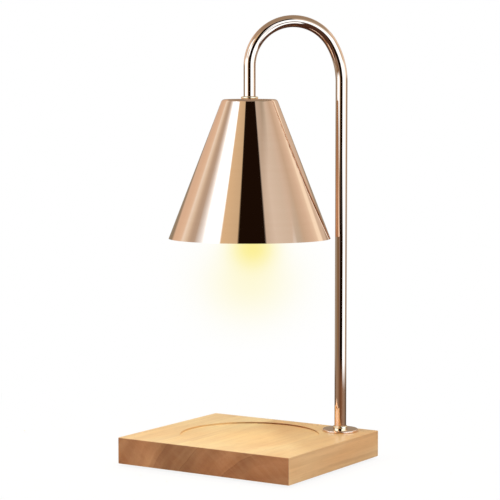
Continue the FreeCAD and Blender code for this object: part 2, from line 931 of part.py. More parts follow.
def head_fastening():
    nipple("head_nipple", head_nipple_low, collar_top + s.nipple_in_tube)
    ring("shade_washer", s.clear_hole_dia, s.shade_washer_dia, bracket_top, shade_ceiling)
    place(hex_nut("head_nut"), z=head_nut_low)


def holder_bracket():
    # a strap folded down on both sides and in under itself
    body = new_body("holder_bracket")
    strap = new_sketch(body, "YZ_Plane")
    thick, outer = s.bracket_thick, s.bracket_span / 2
    inner = outer - thick
    foot_end = outer - s.bracket_foot
    tight = s.bracket_bend - thick
    low, high = holder_top, bracket_top
    draw_outline(strap, [
        (foot_end, low),
        (outer, low, s.bracket_bend),
        (outer, high, s.bracket_bend),
        (-outer, high, s.bracket_bend),
        (-outer, low, s.bracket_bend),
        (-foot_end, low),
        (-foot_end, low + thick),
        (-inner, low + thick, tight),
        (-inner, high - thick, tight),
        (inner, high - thick, tight),
        (inner, low + thick, tight),
        (foot_end, low + thick),
    ])
    pad(body, strap, s.bracket_width, both_ways=True)
    rod_hole = new_sketch(body, "XY_Plane", high)
    draw_circle(rod_hole, s.clear_hole_dia)
    pocket(body, rod_hole, thick)
    screw_holes = new_sketch(body, "XY_Plane", low + thick)
    for y in holder_screw_places():
        draw_circle(screw_holes, s.holder_screw_dia + 2 * s.fit_gap, 0, y)
    pocket(body, screw_holes, thick)


def holder_screw_places():
    return [s.holder_screw_spacing / 2, -s.holder_screw_spacing / 2]


def holder_screws():
    low = holder_low + s.holder_head_sink - s.holder_head_thick
    length = holder_top + s.bracket_thick + s.holder_screw_past - low
    master = screw("holder_screw", s.holder_screw_dia, length, s.holder_head_dia, s.holder_head_thick)
    copies("holder_screws", master, [(0, y, low) for y in holder_screw_places()])


def arc_slot(body, width, low, high):
    # the slot that a pin sweeps as the bulb turns back from rest, with round ends
    slot = new_sketch(body, "XY_Plane", low)
    up, start = Vector(0, 0, 1), math.radians(-s.twist_angle.value)
    pin_radius, half = s.pin_spacing / 2, width / 2
    open_x, open_y = open_end()

    def add_arc(centre_x, centre_y, radius, first, last):
        circle = Part.Circle(Vector(as_size(centre_x).value, as_size(centre_y).value, 0), up, radius.value)
        return slot.addGeometry(Part.ArcOfCircle(circle, first, last))

    outside = add_arc(0, 0, pin_radius + half, start, 0)
    rest_end = add_arc(pin_radius, 0, half, 0, math.pi)
    inside = add_arc(0, 0, pin_radius - half, start, 0)
    open_cap = add_arc(open_x, open_y, half, start + math.pi, start + 2 * math.pi)
    for first, first_end, second, second_end in (
        (outside, 2, rest_end, 1),
        (rest_end, 2, inside, 2),
        (inside, 1, open_cap, 1),
        (open_cap, 2, outside, 1),
    ):
        slot.addConstraint(Sketcher.Constraint("Tangent", first, first_end, second, second_end))
    hold_point(slot, outside, 3, 0, 0)
    hold_point(slot, rest_end, 3, pin_radius, 0)
    hold_point(slot, open_cap, 3, open_x, open_y)
    hold_size(slot, "Radius", rest_end, half)
    hold_size(slot, "Radius", inside, pin_radius - half)
    return pocket(body, slot, high - low, against_normal=False)


def open_end():
    # where a pin's middle stands once the bulb is turned back
    pin_radius = s.pin_spacing / 2
    return pin_radius * cosine(s.twist_angle), -pin_radius * sine(s.twist_angle)


def round_hole(body, diameter, x, y, low, high):
    hole = new_sketch(body, "XY_Plane", low)
    draw_circle(hole, diameter, x, y)
    return pocket(body, hole, high - low, against_normal=False)


def lamp_holder():
    radius, edge = s.holder_dia / 2, s.holder_edge
    body = turned(
        "lamp_holder",
        [
            (0, holder_low),
            (radius - edge, holder_low),
            (radius, holder_low + edge),
            (radius, holder_top - edge),
            (radius - edge, holder_top),
            (0, holder_top),
        ],
    )
    # a keyhole for each pin: the head goes in at the open end and turns in over the shoulder
    shoulder_top = holder_low + s.slot_shoulder
    neck_room = s.pin_dia + 2 * s.slot_gap
    head_hole = s.pin_head_dia + 2 * s.slot_gap
    keyhole = [
        arc_slot(body, neck_room, holder_low, shoulder_top),
        round_hole(body, head_hole, *open_end(), holder_low, shoulder_top),
        arc_slot(body, head_hole + 2 * s.loose_gap, shoulder_top, chamber_roof),
        round_hole(body, s.core_dia + 2 * s.loose_gap, s.pin_spacing / 2, 0, chamber_roof, holder_top),
    ]
    pair = body.newObject("PartDesign::PolarPattern", "keyhole_pair")
    pair.Originals = keyhole
    pair.Axis = (keyhole[-1].Profile[0], ["N_Axis"])
    pair.Angle = 360
    pair.Occurrences = 2
    body.Tip = pair
    doc.recompute()
    head_seat = holder_low + s.holder_head_sink
    for y in holder_screw_places():
        round_hole(body, s.holder_screw_dia + 2 * s.loose_gap, 0, y, head_seat, holder_top)
        round_hole(body, s.holder_head_dia + 2 * s.loose_gap, 0, y, holder_low, head_seat)


def holder_contacts():
    radius = s.contact_dia / 2
    section = [(0, contact_low), (radius, contact_low), (radius, chamber_roof), (0, chamber_roof)]
    master = turned("holder_contact", section, kept=False)
    copies("holder_contacts", master, [(s.pin_spacing / 2, 0, 0), (-s.pin_spacing / 2, 0, 0)])


# ---- the bulb


def bulb_base():
    radius, socket = s.bulb_base_dia / 2, s.reflector_neck_dia / 2 + s.fit_gap
    turned(
        "bulb_base",
        [
            (0, neck_seat),
            (socket, neck_seat),
            (socket, bulb_base_low),
            (radius - s.bulb_base_taper, bulb_base_low),
            (radius, neck_seat),
            (radius, bulb_top - s.bulb_base_edge),
            (radius - s.bulb_base_edge, bulb_top),
            (0, bulb_top),
        ],
    )


def bulb_pins():
    neck, head = s.pin_dia / 2, s.pin_head_dia / 2
    master = turned(
        "bulb_pin",
        [
            (0, bulb_top),
            (neck, bulb_top),
            (neck, pin_head_low),
            (head, pin_head_low),
            (head, pin_head_top - s.pin_head_edge),
            (head - s.pin_head_edge, pin_head_top),
            (0, pin_head_top),
        ],
        kept=False,
    )
    copies("bulb_pins", master, [(s.pin_spacing / 2, 0, 0), (-s.pin_spacing / 2, 0, 0)])


def bulb_reflector():
    rim, neck, hole = s.reflector_dia / 2, s.reflector_neck_dia / 2, s.reflector_hole_dia / 2
    wall = s.reflector_wall
    rim_top = bulb_face + s.reflector_rim
    waist_z = (rim_top + bulb_base_low) / 2
    seat_z = bulb_face + s.lens_recess + s.lens_thick
    turned(
        "bulb_reflector",
        [
            (rim - wall, bulb_face),
            (rim, bulb_face),
            (rim, rim_top, s.reflector_rim_round),
            (rim - wall, rim_top),
            (s.reflector_waist - wall, waist_z, s.reflector_depth),
            (neck, bulb_base_low - wall, s.reflector_neck),
            (neck, neck_seat),
            (hole, neck_seat),
            (hole, bulb_base_low - wall),
            (s.reflector_waist - wall * 2, waist_z, s.reflector_depth),
            (rim - wall - s.lens_seat - s.lens_seat_slope, seat_z + s.lens_seat_slope),
            (rim - wall - s.lens_seat, seat_z),
            (rim - wall, seat_z),
        ],
    )


def bulb_lens():
    radius = s.reflector_dia / 2 - s.reflector_wall - s.fit_gap
    low = bulb_face + s.lens_recess
    high = low + s.lens_thick
    turned("bulb_lens", [(0, low), (radius, low), (radius, high), (0, high)])


def bulb_capsule():
    radius = s.capsule_dia / 2
    low = neck_seat - s.capsule_length
    turned("bulb_capsule", [(0, low), (radius, low, s.capsule_round), (radius, neck_seat), (0, neck_seat)])


def check_document():
    doc.recompute()
    for thing in doc.Objects:
        if "Invalid" in thing.State or "Error" in thing.State:
            raise RuntimeError(f"{thing.Label} is {thing.State}")
    for part in sub_parts:
        if part.Shape.isNull() or not part.Shape.isValid() or not part.Shape.Solids:
            raise RuntimeError(f"{part.Label} has no valid solid")


def write_steps():
    os.makedirs("parts", exist_ok=True)
    for part in sub_parts:
        part.Shape.exportStep(f"parts/{part.Label}.step")


for make in (
    wood_base,
    bottom_cover,
    cover_screws,
    feet,
    cord_grommet,
    terminal_block,
    terminal_fixing,
    terminal_tubes,
    terminal_screws,
    base_cores,
    head_cores,
    lamp_lead,
    pole_tube,
    pole_flange,
    foot_ring,
    foot_fastening,
    top_collar,
    shade,
    head_fastening,
    holder_bracket,
    holder_screws,
    lamp_holder,
    holder_contacts,
    bulb_base,
    bulb_pins,
    bulb_reflector,
    bulb_lens,
    bulb_capsule,
):
    make()

check_document()
write_steps()
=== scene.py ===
import math

import bpy
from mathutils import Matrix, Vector


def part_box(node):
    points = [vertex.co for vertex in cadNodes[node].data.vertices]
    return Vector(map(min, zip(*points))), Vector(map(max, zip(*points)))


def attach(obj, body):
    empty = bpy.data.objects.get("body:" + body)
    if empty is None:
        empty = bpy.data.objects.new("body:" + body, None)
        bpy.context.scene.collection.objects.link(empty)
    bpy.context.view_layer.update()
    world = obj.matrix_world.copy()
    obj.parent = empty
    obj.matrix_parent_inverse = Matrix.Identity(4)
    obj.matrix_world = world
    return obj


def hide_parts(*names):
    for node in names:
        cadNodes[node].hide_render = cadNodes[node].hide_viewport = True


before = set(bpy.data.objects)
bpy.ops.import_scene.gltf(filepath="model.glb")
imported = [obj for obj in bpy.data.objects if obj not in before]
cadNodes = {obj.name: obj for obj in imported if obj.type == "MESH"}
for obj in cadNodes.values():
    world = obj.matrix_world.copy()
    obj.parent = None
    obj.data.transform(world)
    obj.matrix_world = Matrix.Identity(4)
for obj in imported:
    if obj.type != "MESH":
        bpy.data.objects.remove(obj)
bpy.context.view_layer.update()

# ---- camera

cameraSetup = {
    "place": (0.74951, -1.16690, 0.27200), "target": (0.04861, -0.07512, 0.17846),
    "lens": 124.96, "sensor": 36, "far": 60,
}


def addCamera():
    bpy.ops.object.camera_add(location=cameraSetup["place"])
    camera = bpy.context.object
    heading = Vector(cameraSetup["target"]) - camera.location
    camera.rotation_euler = heading.to_track_quat("-Z", "Y").to_euler()
    camera.data.lens = cameraSetup["lens"]
    camera.data.sensor_width = cameraSetup["sensor"]
    camera.data.clip_end = cameraSetup["far"]
    bpy.context.scene.camera = camera


addCamera()
bpy.context.scene.view_settings.view_transform = "Standard"
print("camera set")

# ---- node helpers


def plugIn(tree, node, inputs):
    for socket, value in inputs.items():
        if isinstance(value, bpy.types.NodeSocket):
            tree.links.new(value, node.inputs[socket])
        else:
            node.inputs[socket].default_value = value


def addNode(tree, kind, inputs=None, **fields):
    node = tree.nodes.new(kind)
    for field, value in fields.items():
        setattr(node, field, value)
    plugIn(tree, node, inputs or {})
    return node


def maths(tree, operation, first, second=0.0, clamp=False):
    node = addNode(tree, "ShaderNodeMath", {0: first, 1: second}, operation=operation, use_clamp=clamp)
    return node.outputs[0]


def plus(tree, first, second):
    return maths(tree, "ADD", first, second)


def minus(tree, first, second, clamp=False):
    return maths(tree, "SUBTRACT", first, second, clamp)


def times(tree, first, second):
    return maths(tree, "MULTIPLY", first, second)


def over(tree, first, second, clamp=False):
    return maths(tree, "DIVIDE", first, second, clamp)


def squared(tree, value):
    return maths(tree, "POWER", value, 2.0)


def fromAxis(tree, first, second):
    # how far out a point is, from its two coordinates across the axis
    return maths(tree, "SQRT", plus(tree, squared(tree, first), squared(tree, second)))


def remap(tree, value, low, high, newLow=0.0, newHigh=1.0):
    return addNode(tree, "ShaderNodeMapRange", {0: value, 1: low, 2: high, 3: newLow, 4: newHigh}).outputs[0]


def between(tree, share, pair):
    return remap(tree, share, 0.0, 1.0, *pair)


def noise(tree, vector, scale, detail, roughness=0.5, dimensions="3D"):
    inputs = {"Vector": vector, "Scale": scale, "Detail": detail, "Roughness": roughness}
    return addNode(tree, "ShaderNodeTexNoise", inputs, noise_dimensions=dimensions).outputs[0]


def moved(tree, vector, place=(0, 0, 0), turn=(0, 0, 0), scale=(1, 1, 1)):
    return addNode(tree, "ShaderNodeMapping", {0: vector, 1: place, 2: turn, 3: scale}).outputs[0]


def parted(tree, vector):
    return addNode(tree, "ShaderNodeSeparateXYZ", {0: vector}).outputs


def joined(tree, *values):
    return addNode(tree, "ShaderNodeCombineXYZ", dict(enumerate(values))).outputs[0]


def mixColour(tree, factor, first, second, blend="MIX"):
    node = addNode(tree, "ShaderNodeMix", data_type="RGBA", blend_type=blend)
    sockets = {item.identifier: item for item in node.inputs}
    for name, value in (("Factor_Float", factor), ("A_Color", first), ("B_Color", second)):
        if isinstance(value, bpy.types.NodeSocket):
            tree.links.new(value, sockets[name])
        else:
            sockets[name].default_value = (*value, 1) if name.endswith("Color") else value
    return next(item for item in node.outputs if item.identifier == "Result_Color")


def ramp(tree, factor, stops):
    node = addNode(tree, "ShaderNodeValToRGB", {0: factor})
    points = node.color_ramp.elements
    while len(points) > 1:
        points.remove(points[-1])
    for i, (place, colour) in enumerate(stops):
        point = points[0] if i == 0 else points.new(place)
        point.position = place
        point.color = (*colour, 1)
    return node.outputs[0]


def newGroup(name, settings, results):
    # settings are the numbers that a finish can give it, beside the vector
    group = bpy.data.node_groups.new(name, "ShaderNodeTree")
    group.interface.new_socket("Vector", in_out="INPUT", socket_type="NodeSocketVector")
    for socket, value in settings.items():
        setting = group.interface.new_socket(socket, in_out="INPUT", socket_type="NodeSocketFloat")
        setting.default_value = value
    for socket in results:
        group.interface.new_socket(socket, in_out="OUTPUT", socket_type="NodeSocketFloat")
    entry, leave = group.nodes.new("NodeGroupInput"), group.nodes.new("NodeGroupOutput")
    return group, entry.outputs, leave.inputs


def placeGroup(tree, group, where, **settings):
    return addNode(tree, "ShaderNodeGroup", {"Vector": where, **settings}, node_tree=group).outputs


# ---- effects that several finishes share

smudgeLook = {"broad": 0.75, "fine": 0.25, "fineness": 7.0, "clean": 0.85, "byCover": 0.6, "edge": 0.3}


def makeSmudges():
    # soft cloudy patches where hands and cloth have been, 0 clean to 1 dull
    look = smudgeLook
    group, given, made = newGroup("smudges", {"Scale": 40.0, "Cover": 0.5}, ["Smudge"])
    broad = noise(group, given["Vector"], given["Scale"], 3.0)
    fine = noise(group, given["Vector"], times(group, given["Scale"], look["fineness"]), 2.0)
    mixed = plus(group, times(group, broad, look["broad"]), times(group, fine, look["fine"]))
    start = minus(group, look["clean"], times(group, given["Cover"], look["byCover"]))
    group.links.new(over(group, minus(group, mixed, start), look["edge"], clamp=True), made["Smudge"])
    return group


turnLook = {"bandShare": 0.12}


def makeTurnMarks():
    # fine rings left by spinning and polishing, round the Z axis of the vector that comes in
    group, given, made = newGroup("turnMarks", {"Pitch": 0.0004}, ["Height", "Streak"])
    sideX, sideY, up = parted(group, given["Vector"])
    along = joined(group, fromAxis(group, sideX, sideY), up)
    often = over(group, 1.0, given["Pitch"])
    group.links.new(noise(group, along, often, 3.0, dimensions="2D"), made["Height"])
    broad = times(group, often, turnLook["bandShare"])
    group.links.new(noise(group, along, broad, 1.0, dimensions="2D"), made["Streak"])
    return group


skinLook = {"cloudScale": 0.5, "fleckScale": 0.35, "flecks": (0.64, 0.72)}


def makeMouldSkin():
    # the fine pebbled skin of moulded, cast and fired parts, with a few darker flecks
    look = skinLook
    group, given, made = newGroup("mouldSkin", {"Grain": 0.0006}, ["Height", "Fleck"])
    often = over(group, 1.0, given["Grain"])
    pebble = addNode(group, "ShaderNodeTexVoronoi", {"Vector": given["Vector"], "Scale": often}).outputs[0]
    cloud = noise(group, given["Vector"], times(group, often, look["cloudScale"]), 4.0)
    group.links.new(plus(group, times(group, pebble, 0.5), times(group, cloud, 0.5)), made["Height"])
    fleck = noise(group, given["Vector"], times(group, often, look["fleckScale"]), 1.0)
    group.links.new(remap(group, fleck, *look["flecks"]), made["Fleck"])
    return group


dustLook = {"facing": (0.2, 1.0), "scale": 350.0, "patches": (0.4, 0.7, 0.3, 1.0)}


def makeDust():
    # a pale film on faces that look up, broken by noise
    look = dustLook
    group, given, made = newGroup("dustFilm", {"Amount": 0.3}, ["Dust"])
    facing = parted(group, addNode(group, "ShaderNodeNewGeometry").outputs["Normal"])
    upward = remap(group, facing[2], *look["facing"])
    broken = remap(group, noise(group, given["Vector"], look["scale"], 4.0), *look["patches"])
    group.links.new(times(group, times(group, upward, broken), given["Amount"]), made["Dust"])
    return group


smudges, turnMarks, mouldSkin, dustFilm = makeSmudges(), makeTurnMarks(), makeMouldSkin(), makeDust()
print("shared effects made")

# ---- finishes


def newMaterial(name):
    material = bpy.data.materials.new(name)
    material.use_nodes = True
    tree = material.node_tree
    where = addNode(tree, "ShaderNodeTexCoord").outputs["Object"]
    return material, tree, tree.nodes["Principled BSDF"], where


def hands(tree, where, scale, cover):
    return placeGroup(tree, smudges, where, Scale=scale, Cover=cover)["Smudge"]


def bumpInto(tree, shader, height, strength, distance):
    bump = addNode(tree, "ShaderNodeBump", {"Height": height, "Strength": strength, "Distance": distance})
    plugIn(tree, shader, {"Normal": bump.outputs[0]})


platings = {
    "roseGold": {"colour": (0.85, 0.60, 0.44), "deep": (0.81, 0.55, 0.39), "roughness": (0.035, 0.07)},
    "paleGold": {"colour": (0.93, 0.76, 0.52), "deep": (0.88, 0.68, 0.42), "roughness": (0.04, 0.09)},
}
platingMarks = {"pitch": 0.0005, "hands": (22.0, 0.45), "streaks": 0.6, "bump": (0.12, 0.000004)}


def makePlating(name):
    # mirror-bright plate over spun or drawn metal
    look, worn = platings[name], platingMarks
    material, tree, shader, where = newMaterial(name)
    marks = placeGroup(tree, turnMarks, where, Pitch=worn["pitch"])
    colour = mixColour(tree, times(tree, marks["Streak"], worn["streaks"]), look["colour"], look["deep"])
    rough = between(tree, hands(tree, where, *worn["hands"]), look["roughness"])
    plugIn(tree, shader, {"Base Color": colour, "Metallic": 1, "Roughness": rough})
    bumpInto(tree, shader, marks["Height"], *worn["bump"])
    return material


enamelLook = {
    "clean": (0.90, 0.87, 0.80), "handled": (0.85, 0.80, 0.70), "fleck": (0.70, 0.64, 0.54), "flecks": 0.15,
    "roughness": (0.32, 0.5), "grain": 0.0011, "hands": (30.0, 0.4), "bump": (0.25, 0.00004),
}


def makeShadeInside():
    # warm white baked enamel inside the shade
    look = enamelLook
    material, tree, shader, where = newMaterial("shadeEnamel")
    skin = placeGroup(tree, mouldSkin, where, Grain=look["grain"])
    touched = hands(tree, where, *look["hands"])
    warm = mixColour(tree, touched, look["clean"], look["handled"])
    colour = mixColour(tree, times(tree, skin["Fleck"], look["flecks"]), warm, look["fleck"])
    rough = between(tree, touched, look["roughness"])
    plugIn(tree, shader, {"Base Color": colour, "Roughness": rough})
    bumpInto(tree, shader, skin["Height"], *look["bump"])
    return material


woodLook = {
    "pale": (0.95, 0.745, 0.42), "honey": (0.87, 0.58, 0.29),
    "dark": (0.52, 0.28, 0.13), "pore": (0.34, 0.17, 0.07),
    # the ends are darker partly from end grain soaking up lacquer and partly from painted shade; the long
    # edges carry painted shade
    "endGrainAndShadeTint": (0.50, 0.315, 0.250), "sideShadeTint": (1.0, 0.90, 0.86), "backRightTint": (0.84, 0.77, 0.71),
    # where the heart of the tree was, how far the rings sway, and how fast they change along the grain
    "heart": (0.10, 0.0, -0.087), "swayScale": 20.0, "sway": 0.02, "bandDrift": 0.02,
    # noise scale, then where a mask starts and is full
    "bands": (95.0, 0.36, 0.66), "patches": (26.0, 0.34, 0.66), "fibre": (700.0, 0.42, 0.75),
    "streaks": (170.0, 0.46, 0.72), "pores": (2400.0, 0.60, 0.72), "rays": (420.0, 0.45, 0.72),
    # how far each kind of figure is drawn out along an axis
    "swayDrawn": (1.0, 0.14, 1.0), "patchDrawn": (1.0, 0.35, 1.6), "grainDrawn": (1.0, 0.03, 1.0),
    "rayDrawn": (0.12, 0.12, 1.0),
    # dark ring lines as radius and width, and the tail that each has
    "arcs": ((0.1215, 0.0007), (0.1490, 0.0005), (0.1690, 0.0004)), "tail": (-9.0, 0.0, 0.0, 0.45),
    # how strongly each shows: on long grain and on the ends, for the streaks on top and on the long edges
    "bandShow": (0.22, 0.62), "arcShow": (0.10, 0.55), "streakShow": (0.22, 0.36),
    "fibreShow": 0.20, "rayShow": 0.35, "poreShow": 0.25, "rayLean": -38, "faceTurn": (0.55, 0.95),
    "backRightEdge": (-0.080, -0.055), "backRightSway": 0.05, "backRightOnEdge": 0.3,
    "hands": (18.0, 0.5), "roughness": (0.30, 0.48), "poreRough": 0.12, "gloss": 0.28,
    "bump": (0.20, 0.00005),
}
endPatch = {
    "place": (0.6, 0, 0), "lean": 30, "drawn": (1, 0, 0.35), "scale": 24.0,
    "spread": (0.32, 0.68), "level": (0.78, 1.22),
}


def makeWood():
    # lacquered beech with its grain along Y: rings show as slanting bands on the ends, as streaks elsewhere
    material, tree, shader, where = newMaterial("lacqueredBeech")
    look = woodLook

    def masked(value, name):
        return remap(tree, value, *look[name][1:])

    sway = noise(tree, moved(tree, where, scale=look["swayDrawn"]), look["swayScale"], 3.0)
    away = addNode(tree, "ShaderNodeVectorMath", {0: where, 1: look["heart"]}, operation="SUBTRACT")
    across, along, up = parted(tree, away.outputs[0])
    bent = plus(tree, fromAxis(tree, across, up), times(tree, minus(tree, sway, 0.5), look["sway"]))
    # uneven yearly bands, and a few that end in a dark line
    bandPlace = joined(tree, bent, times(tree, along, look["bandDrift"]))
    bandMask = masked(noise(tree, bandPlace, look["bands"][0], 4.0, 0.55), "bands")
    arcMask = 0.0
    for place, width in look["arcs"]:
        gap = over(tree, minus(tree, bent, place), width)
        line = minus(tree, 1.0, maths(tree, "ABSOLUTE", gap), clamp=True)
        # the line fades slowly on the side of the early wood
        tail = times(tree, remap(tree, gap, *look["tail"]), maths(tree, "LESS_THAN", gap, 0.0))
        arcMask = maths(tree, "MAXIMUM", arcMask, maths(tree, "MAXIMUM", line, tail))
    patches = noise(tree, moved(tree, where, scale=look["patchDrawn"]), look["patches"][0], 2.0)
    drawn = moved(tree, where, scale=look["grainDrawn"])
    fibre = noise(tree, drawn, look["fibre"][0], 5.0, 0.65)
    streaks = noise(tree, drawn, look["streaks"][0], 3.0)
    poreMask = masked(noise(tree, drawn, look["pores"][0], 2.0), "pores")
    # rays cross the rings on the ends as fine slanting lines
    leaned = moved(tree, where, turn=(0, math.radians(look["rayLean"]), 0))
    rays = noise(tree, moved(tree, leaned, scale=look["rayDrawn"]), look["rays"][0], 3.0, 0.6)
    facing = parted(tree, addNode(tree, "ShaderNodeNewGeometry").outputs["Normal"])
    edgeFace, endGrain = (remap(tree, maths(tree, "ABSOLUTE", facing[i]), *look["faceTurn"]) for i in (0, 1))
    offEnd = between(tree, endGrain, (1.0, 0.0))

    colour = mixColour(tree, masked(patches, "patches"), look["pale"], look["honey"])
    streakShow = times(tree, masked(streaks, "streaks"), between(tree, edgeFace, look["streakShow"]))
    for show, tint in (
        (times(tree, bandMask, between(tree, endGrain, look["bandShow"])), "dark"),
        (times(tree, arcMask, between(tree, endGrain, look["arcShow"])), "pore"),
        (times(tree, streakShow, offEnd), "dark"),
        (times(tree, masked(fibre, "fibre"), look["fibreShow"]), "dark"),
        (times(tree, times(tree, masked(rays, "rays"), look["rayShow"]), endGrain), "pale"),
        (times(tree, poreMask, look["poreShow"]), "pore"),
    ):
        colour = mixColour(tree, show, colour, look[tint])
    # darker over the back right part of the board, less so on the long edges, its border wandering with the
    # grain
    border = plus(tree, plus(tree, across, along), times(tree, minus(tree, patches, 0.5), look["backRightSway"]))
    offEdge = between(tree, edgeFace, (1.0, look["backRightOnEdge"]))
    backRightShare = times(tree, remap(tree, border, *look["backRightEdge"]), offEdge)
    # painted shade darkens the long edges; the ends darken from their own end grain and from painted shade
    for show, tint in ((backRightShare, "backRightTint"), (edgeFace, "sideShadeTint"), (endGrain, "endGrainAndShadeTint")):
        colour = mixColour(tree, show, colour, look[tint], "MULTIPLY")
    # the ends take the lacquer unevenly
    lean = (0, math.radians(endPatch["lean"]), 0)
    cloudy = moved(tree, where, endPatch["place"], lean, endPatch["drawn"])
    level = remap(tree, noise(tree, cloudy, endPatch["scale"], 1.5), *endPatch["spread"], *endPatch["level"])
    colour = mixColour(tree, endGrain, colour, joined(tree, level, level, level), "MULTIPLY")
    rough = between(tree, hands(tree, where, *look["hands"]), look["roughness"])
    rough = plus(tree, rough, times(tree, poreMask, look["poreRough"]))
    plugIn(tree, shader, {"Base Color": colour, "Roughness": rough, "Specular IOR Level": look["gloss"]})
    bumpInto(tree, shader, minus(tree, times(tree, fibre, 0.5), poreMask), *look["bump"])
    return material


plainFinishes = {
    # name: colour, fleck colour, roughness low and high, metal, grain size, bump strength and depth, dust
    "blackBoard": (
        (0.030, 0.028, 0.026), (0.075, 0.065, 0.055), (0.55, 0.75), 0, 0.0009, (0.5, 0.00008), 0.10),
    "blackRubber": (
        (0.022, 0.022, 0.023), (0.050, 0.050, 0.050), (0.60, 0.82), 0, 0.0005, (0.5, 0.00005), 0.20),
    "whiteMoulding": ((0.82, 0.81, 0.76), (0.70, 0.68, 0.62), (0.38, 0.52), 0, 0.0007, (0.2, 0.00003), 0.05),
    "glassSleeve": ((0.80, 0.77, 0.70), (0.62, 0.57, 0.48), (0.70, 0.85), 0, 0.0004, (0.6, 0.00008), 0.0),
    "siliconeJacket": ((0.74, 0.72, 0.68), (0.62, 0.60, 0.56), (0.45, 0.60), 0, 0.0008, (0.3, 0.00003), 0.0),
    "brightZinc": ((0.66, 0.67, 0.68), (0.56, 0.58, 0.62), (0.22, 0.38), 1, 0.0006, (0.3, 0.00002), 0.0),
    "turnedBrass": ((0.80, 0.60, 0.27), (0.62, 0.42, 0.17), (0.18, 0.34), 1, 0.0006, (0.25, 0.00002), 0.0),
    "dullNickel": ((0.70, 0.67, 0.61), (0.58, 0.55, 0.50), (0.20, 0.32), 1, 0.0006, (0.2, 0.00002), 0.0),
    "steatite": ((0.86, 0.83, 0.75), (0.66, 0.60, 0.50), (0.48, 0.66), 0, 0.0005, (0.35, 0.00004), 0.05),
}
plainWear = {"hands": (60.0, 0.5), "flecks": 0.5, "dulled": 0.35, "dust": (0.55, 0.52, 0.48)}


def makePlain(name):
    colour, fleck, roughness, metal, grain, bump, dust = plainFinishes[name]
    worn = plainWear
    material, tree, shader, where = newMaterial(name)
    skin = placeGroup(tree, mouldSkin, where, Grain=grain)
    touched = hands(tree, where, *worn["hands"])
    colour = mixColour(tree, times(tree, skin["Fleck"], worn["flecks"]), colour, fleck)
    colour = mixColour(tree, times(tree, touched, worn["dulled"]), colour, fleck)
    if dust:
        colour = mixColour(tree, placeGroup(tree, dustFilm, where, Amount=dust)["Dust"], colour, worn["dust"])
    rough = between(tree, touched, roughness)
    plugIn(tree, shader, {"Base Color": colour, "Metallic": metal, "Roughness": rough})
    bumpInto(tree, shader, skin["Height"], *bump)
    return material


glasses = {
    # name: colour, roughness low and high, colour and strength of the light that it carries
    "lensGlass": ((0.98, 0.96, 0.92), (0.02, 0.12), (1.0, 0.72, 0.38), 0.12),
    "capsuleGlass": ((1.0, 0.97, 0.90), (0.02, 0.08), (1.0, 0.66, 0.30), 0.9),
}
glassBody = {"bending": 1.46, "hands": (90.0, 0.4)}


def makeGlass(name):
    colour, roughness, lit, power = glasses[name]
    material, tree, shader, where = newMaterial(name)
    rough = between(tree, hands(tree, where, *glassBody["hands"]), roughness)
    plugIn(tree, shader, {
        "Base Color": (*colour, 1), "Roughness": rough, "Transmission Weight": 1, "IOR": glassBody["bending"],
        "Emission Color": (*lit, 1), "Emission Strength": power,
    })
    return material


coatLook = {
    "bright": (0.90, 0.90, 0.92), "hazed": (0.84, 0.82, 0.78),
    "roughness": (0.06, 0.16), "hands": (70.0, 0.5),
}


def makeMirrorCoat():
    look = coatLook
    material, tree, shader, where = newMaterial("mirrorCoat")
    touched = hands(tree, where, *look["hands"])
    colour = mixColour(tree, touched, look["bright"], look["hazed"])
    rough = between(tree, touched, look["roughness"])
    plugIn(tree, shader, {"Base Color": colour, "Metallic": 1, "Roughness": rough})
    return material


hotWire = {"colour": (0.9, 0.55, 0.25), "lit": (1.0, 0.62, 0.26), "power": 30}


def makeHotWire():
    look = hotWire
    material, tree, shader, _ = newMaterial("filament")
    plugIn(tree, shader, {
        "Base Color": (*look["colour"], 1), "Emission Color": (*look["lit"], 1),
        "Emission Strength": look["power"],
    })
    return material


finishes = {name: makePlain(name) for name in plainFinishes}
finishes.update({name: makePlating(name) for name in platings})
finishes.update({name: makeGlass(name) for name in glasses})
finishes.update(
    enamel=makeShadeInside(), beech=makeWood(), mirrorCoat=makeMirrorCoat(), filament=makeHotWire())

nodeFinishes = {
    "beech": ["wood_base"],
    "blackBoard": ["bottom_cover"],
    "blackRubber": [
        "foot_front_left", "foot_front_right", "foot_back_left", "foot_back_right", "cord_grommet",
    ],
    "whiteMoulding": ["terminal_block"],
    "glassSleeve": ["base_cores", "head_cores"],
    "siliconeJacket": ["lamp_lead"],
    "roseGold": ["pole_tube", "pole_flange", "shade"],
    "paleGold": ["foot_ring", "top_collar"],
    "brightZinc": [
        "cover_screws", "terminal_fixing", "terminal_screws", "foot_nipple", "foot_washer", "foot_nut",
        "head_nipple", "shade_washer", "head_nut", "holder_bracket", "holder_screws",
    ],
    "turnedBrass": ["terminal_tubes", "holder_contacts"],
    "dullNickel": ["bulb_pins"],
    "steatite": ["lamp_holder", "bulb_base"],
    "mirrorCoat": ["bulb_reflector"],
    "lensGlass": ["bulb_lens"],
    "capsuleGlass": ["bulb_capsule"],
}


def dress(thing, *names):
    thing.data.materials.clear()
    for name in names:
        thing.data.materials.append(finishes[name])


for finish, names in nodeFinishes.items():
    for name in names:
        dress(cadNodes[name], finish)
print("finishes on the carried-over pieces")

# ---- modelling helpers

meshRules = {"weld": 0.0000005, "smoothBelow": 35}


def switchTo(mode):
    bpy.ops.object.mode_set(mode=mode)


def startClean():
    if bpy.context.object and bpy.context.object.mode != "OBJECT":
        switchTo("OBJECT")
    bpy.ops.object.select_all(action="DESELECT")


def startEditing():
    switchTo("EDIT")
    bpy.ops.mesh.select_all(action="SELECT")


def holdPlace():
    bpy.ops.object.transform_apply(location=True, rotation=True, scale=True)


def smoothen(angle=meshRules["smoothBelow"]):
    bpy.ops.object.shade_smooth_by_angle(angle=math.radians(angle))


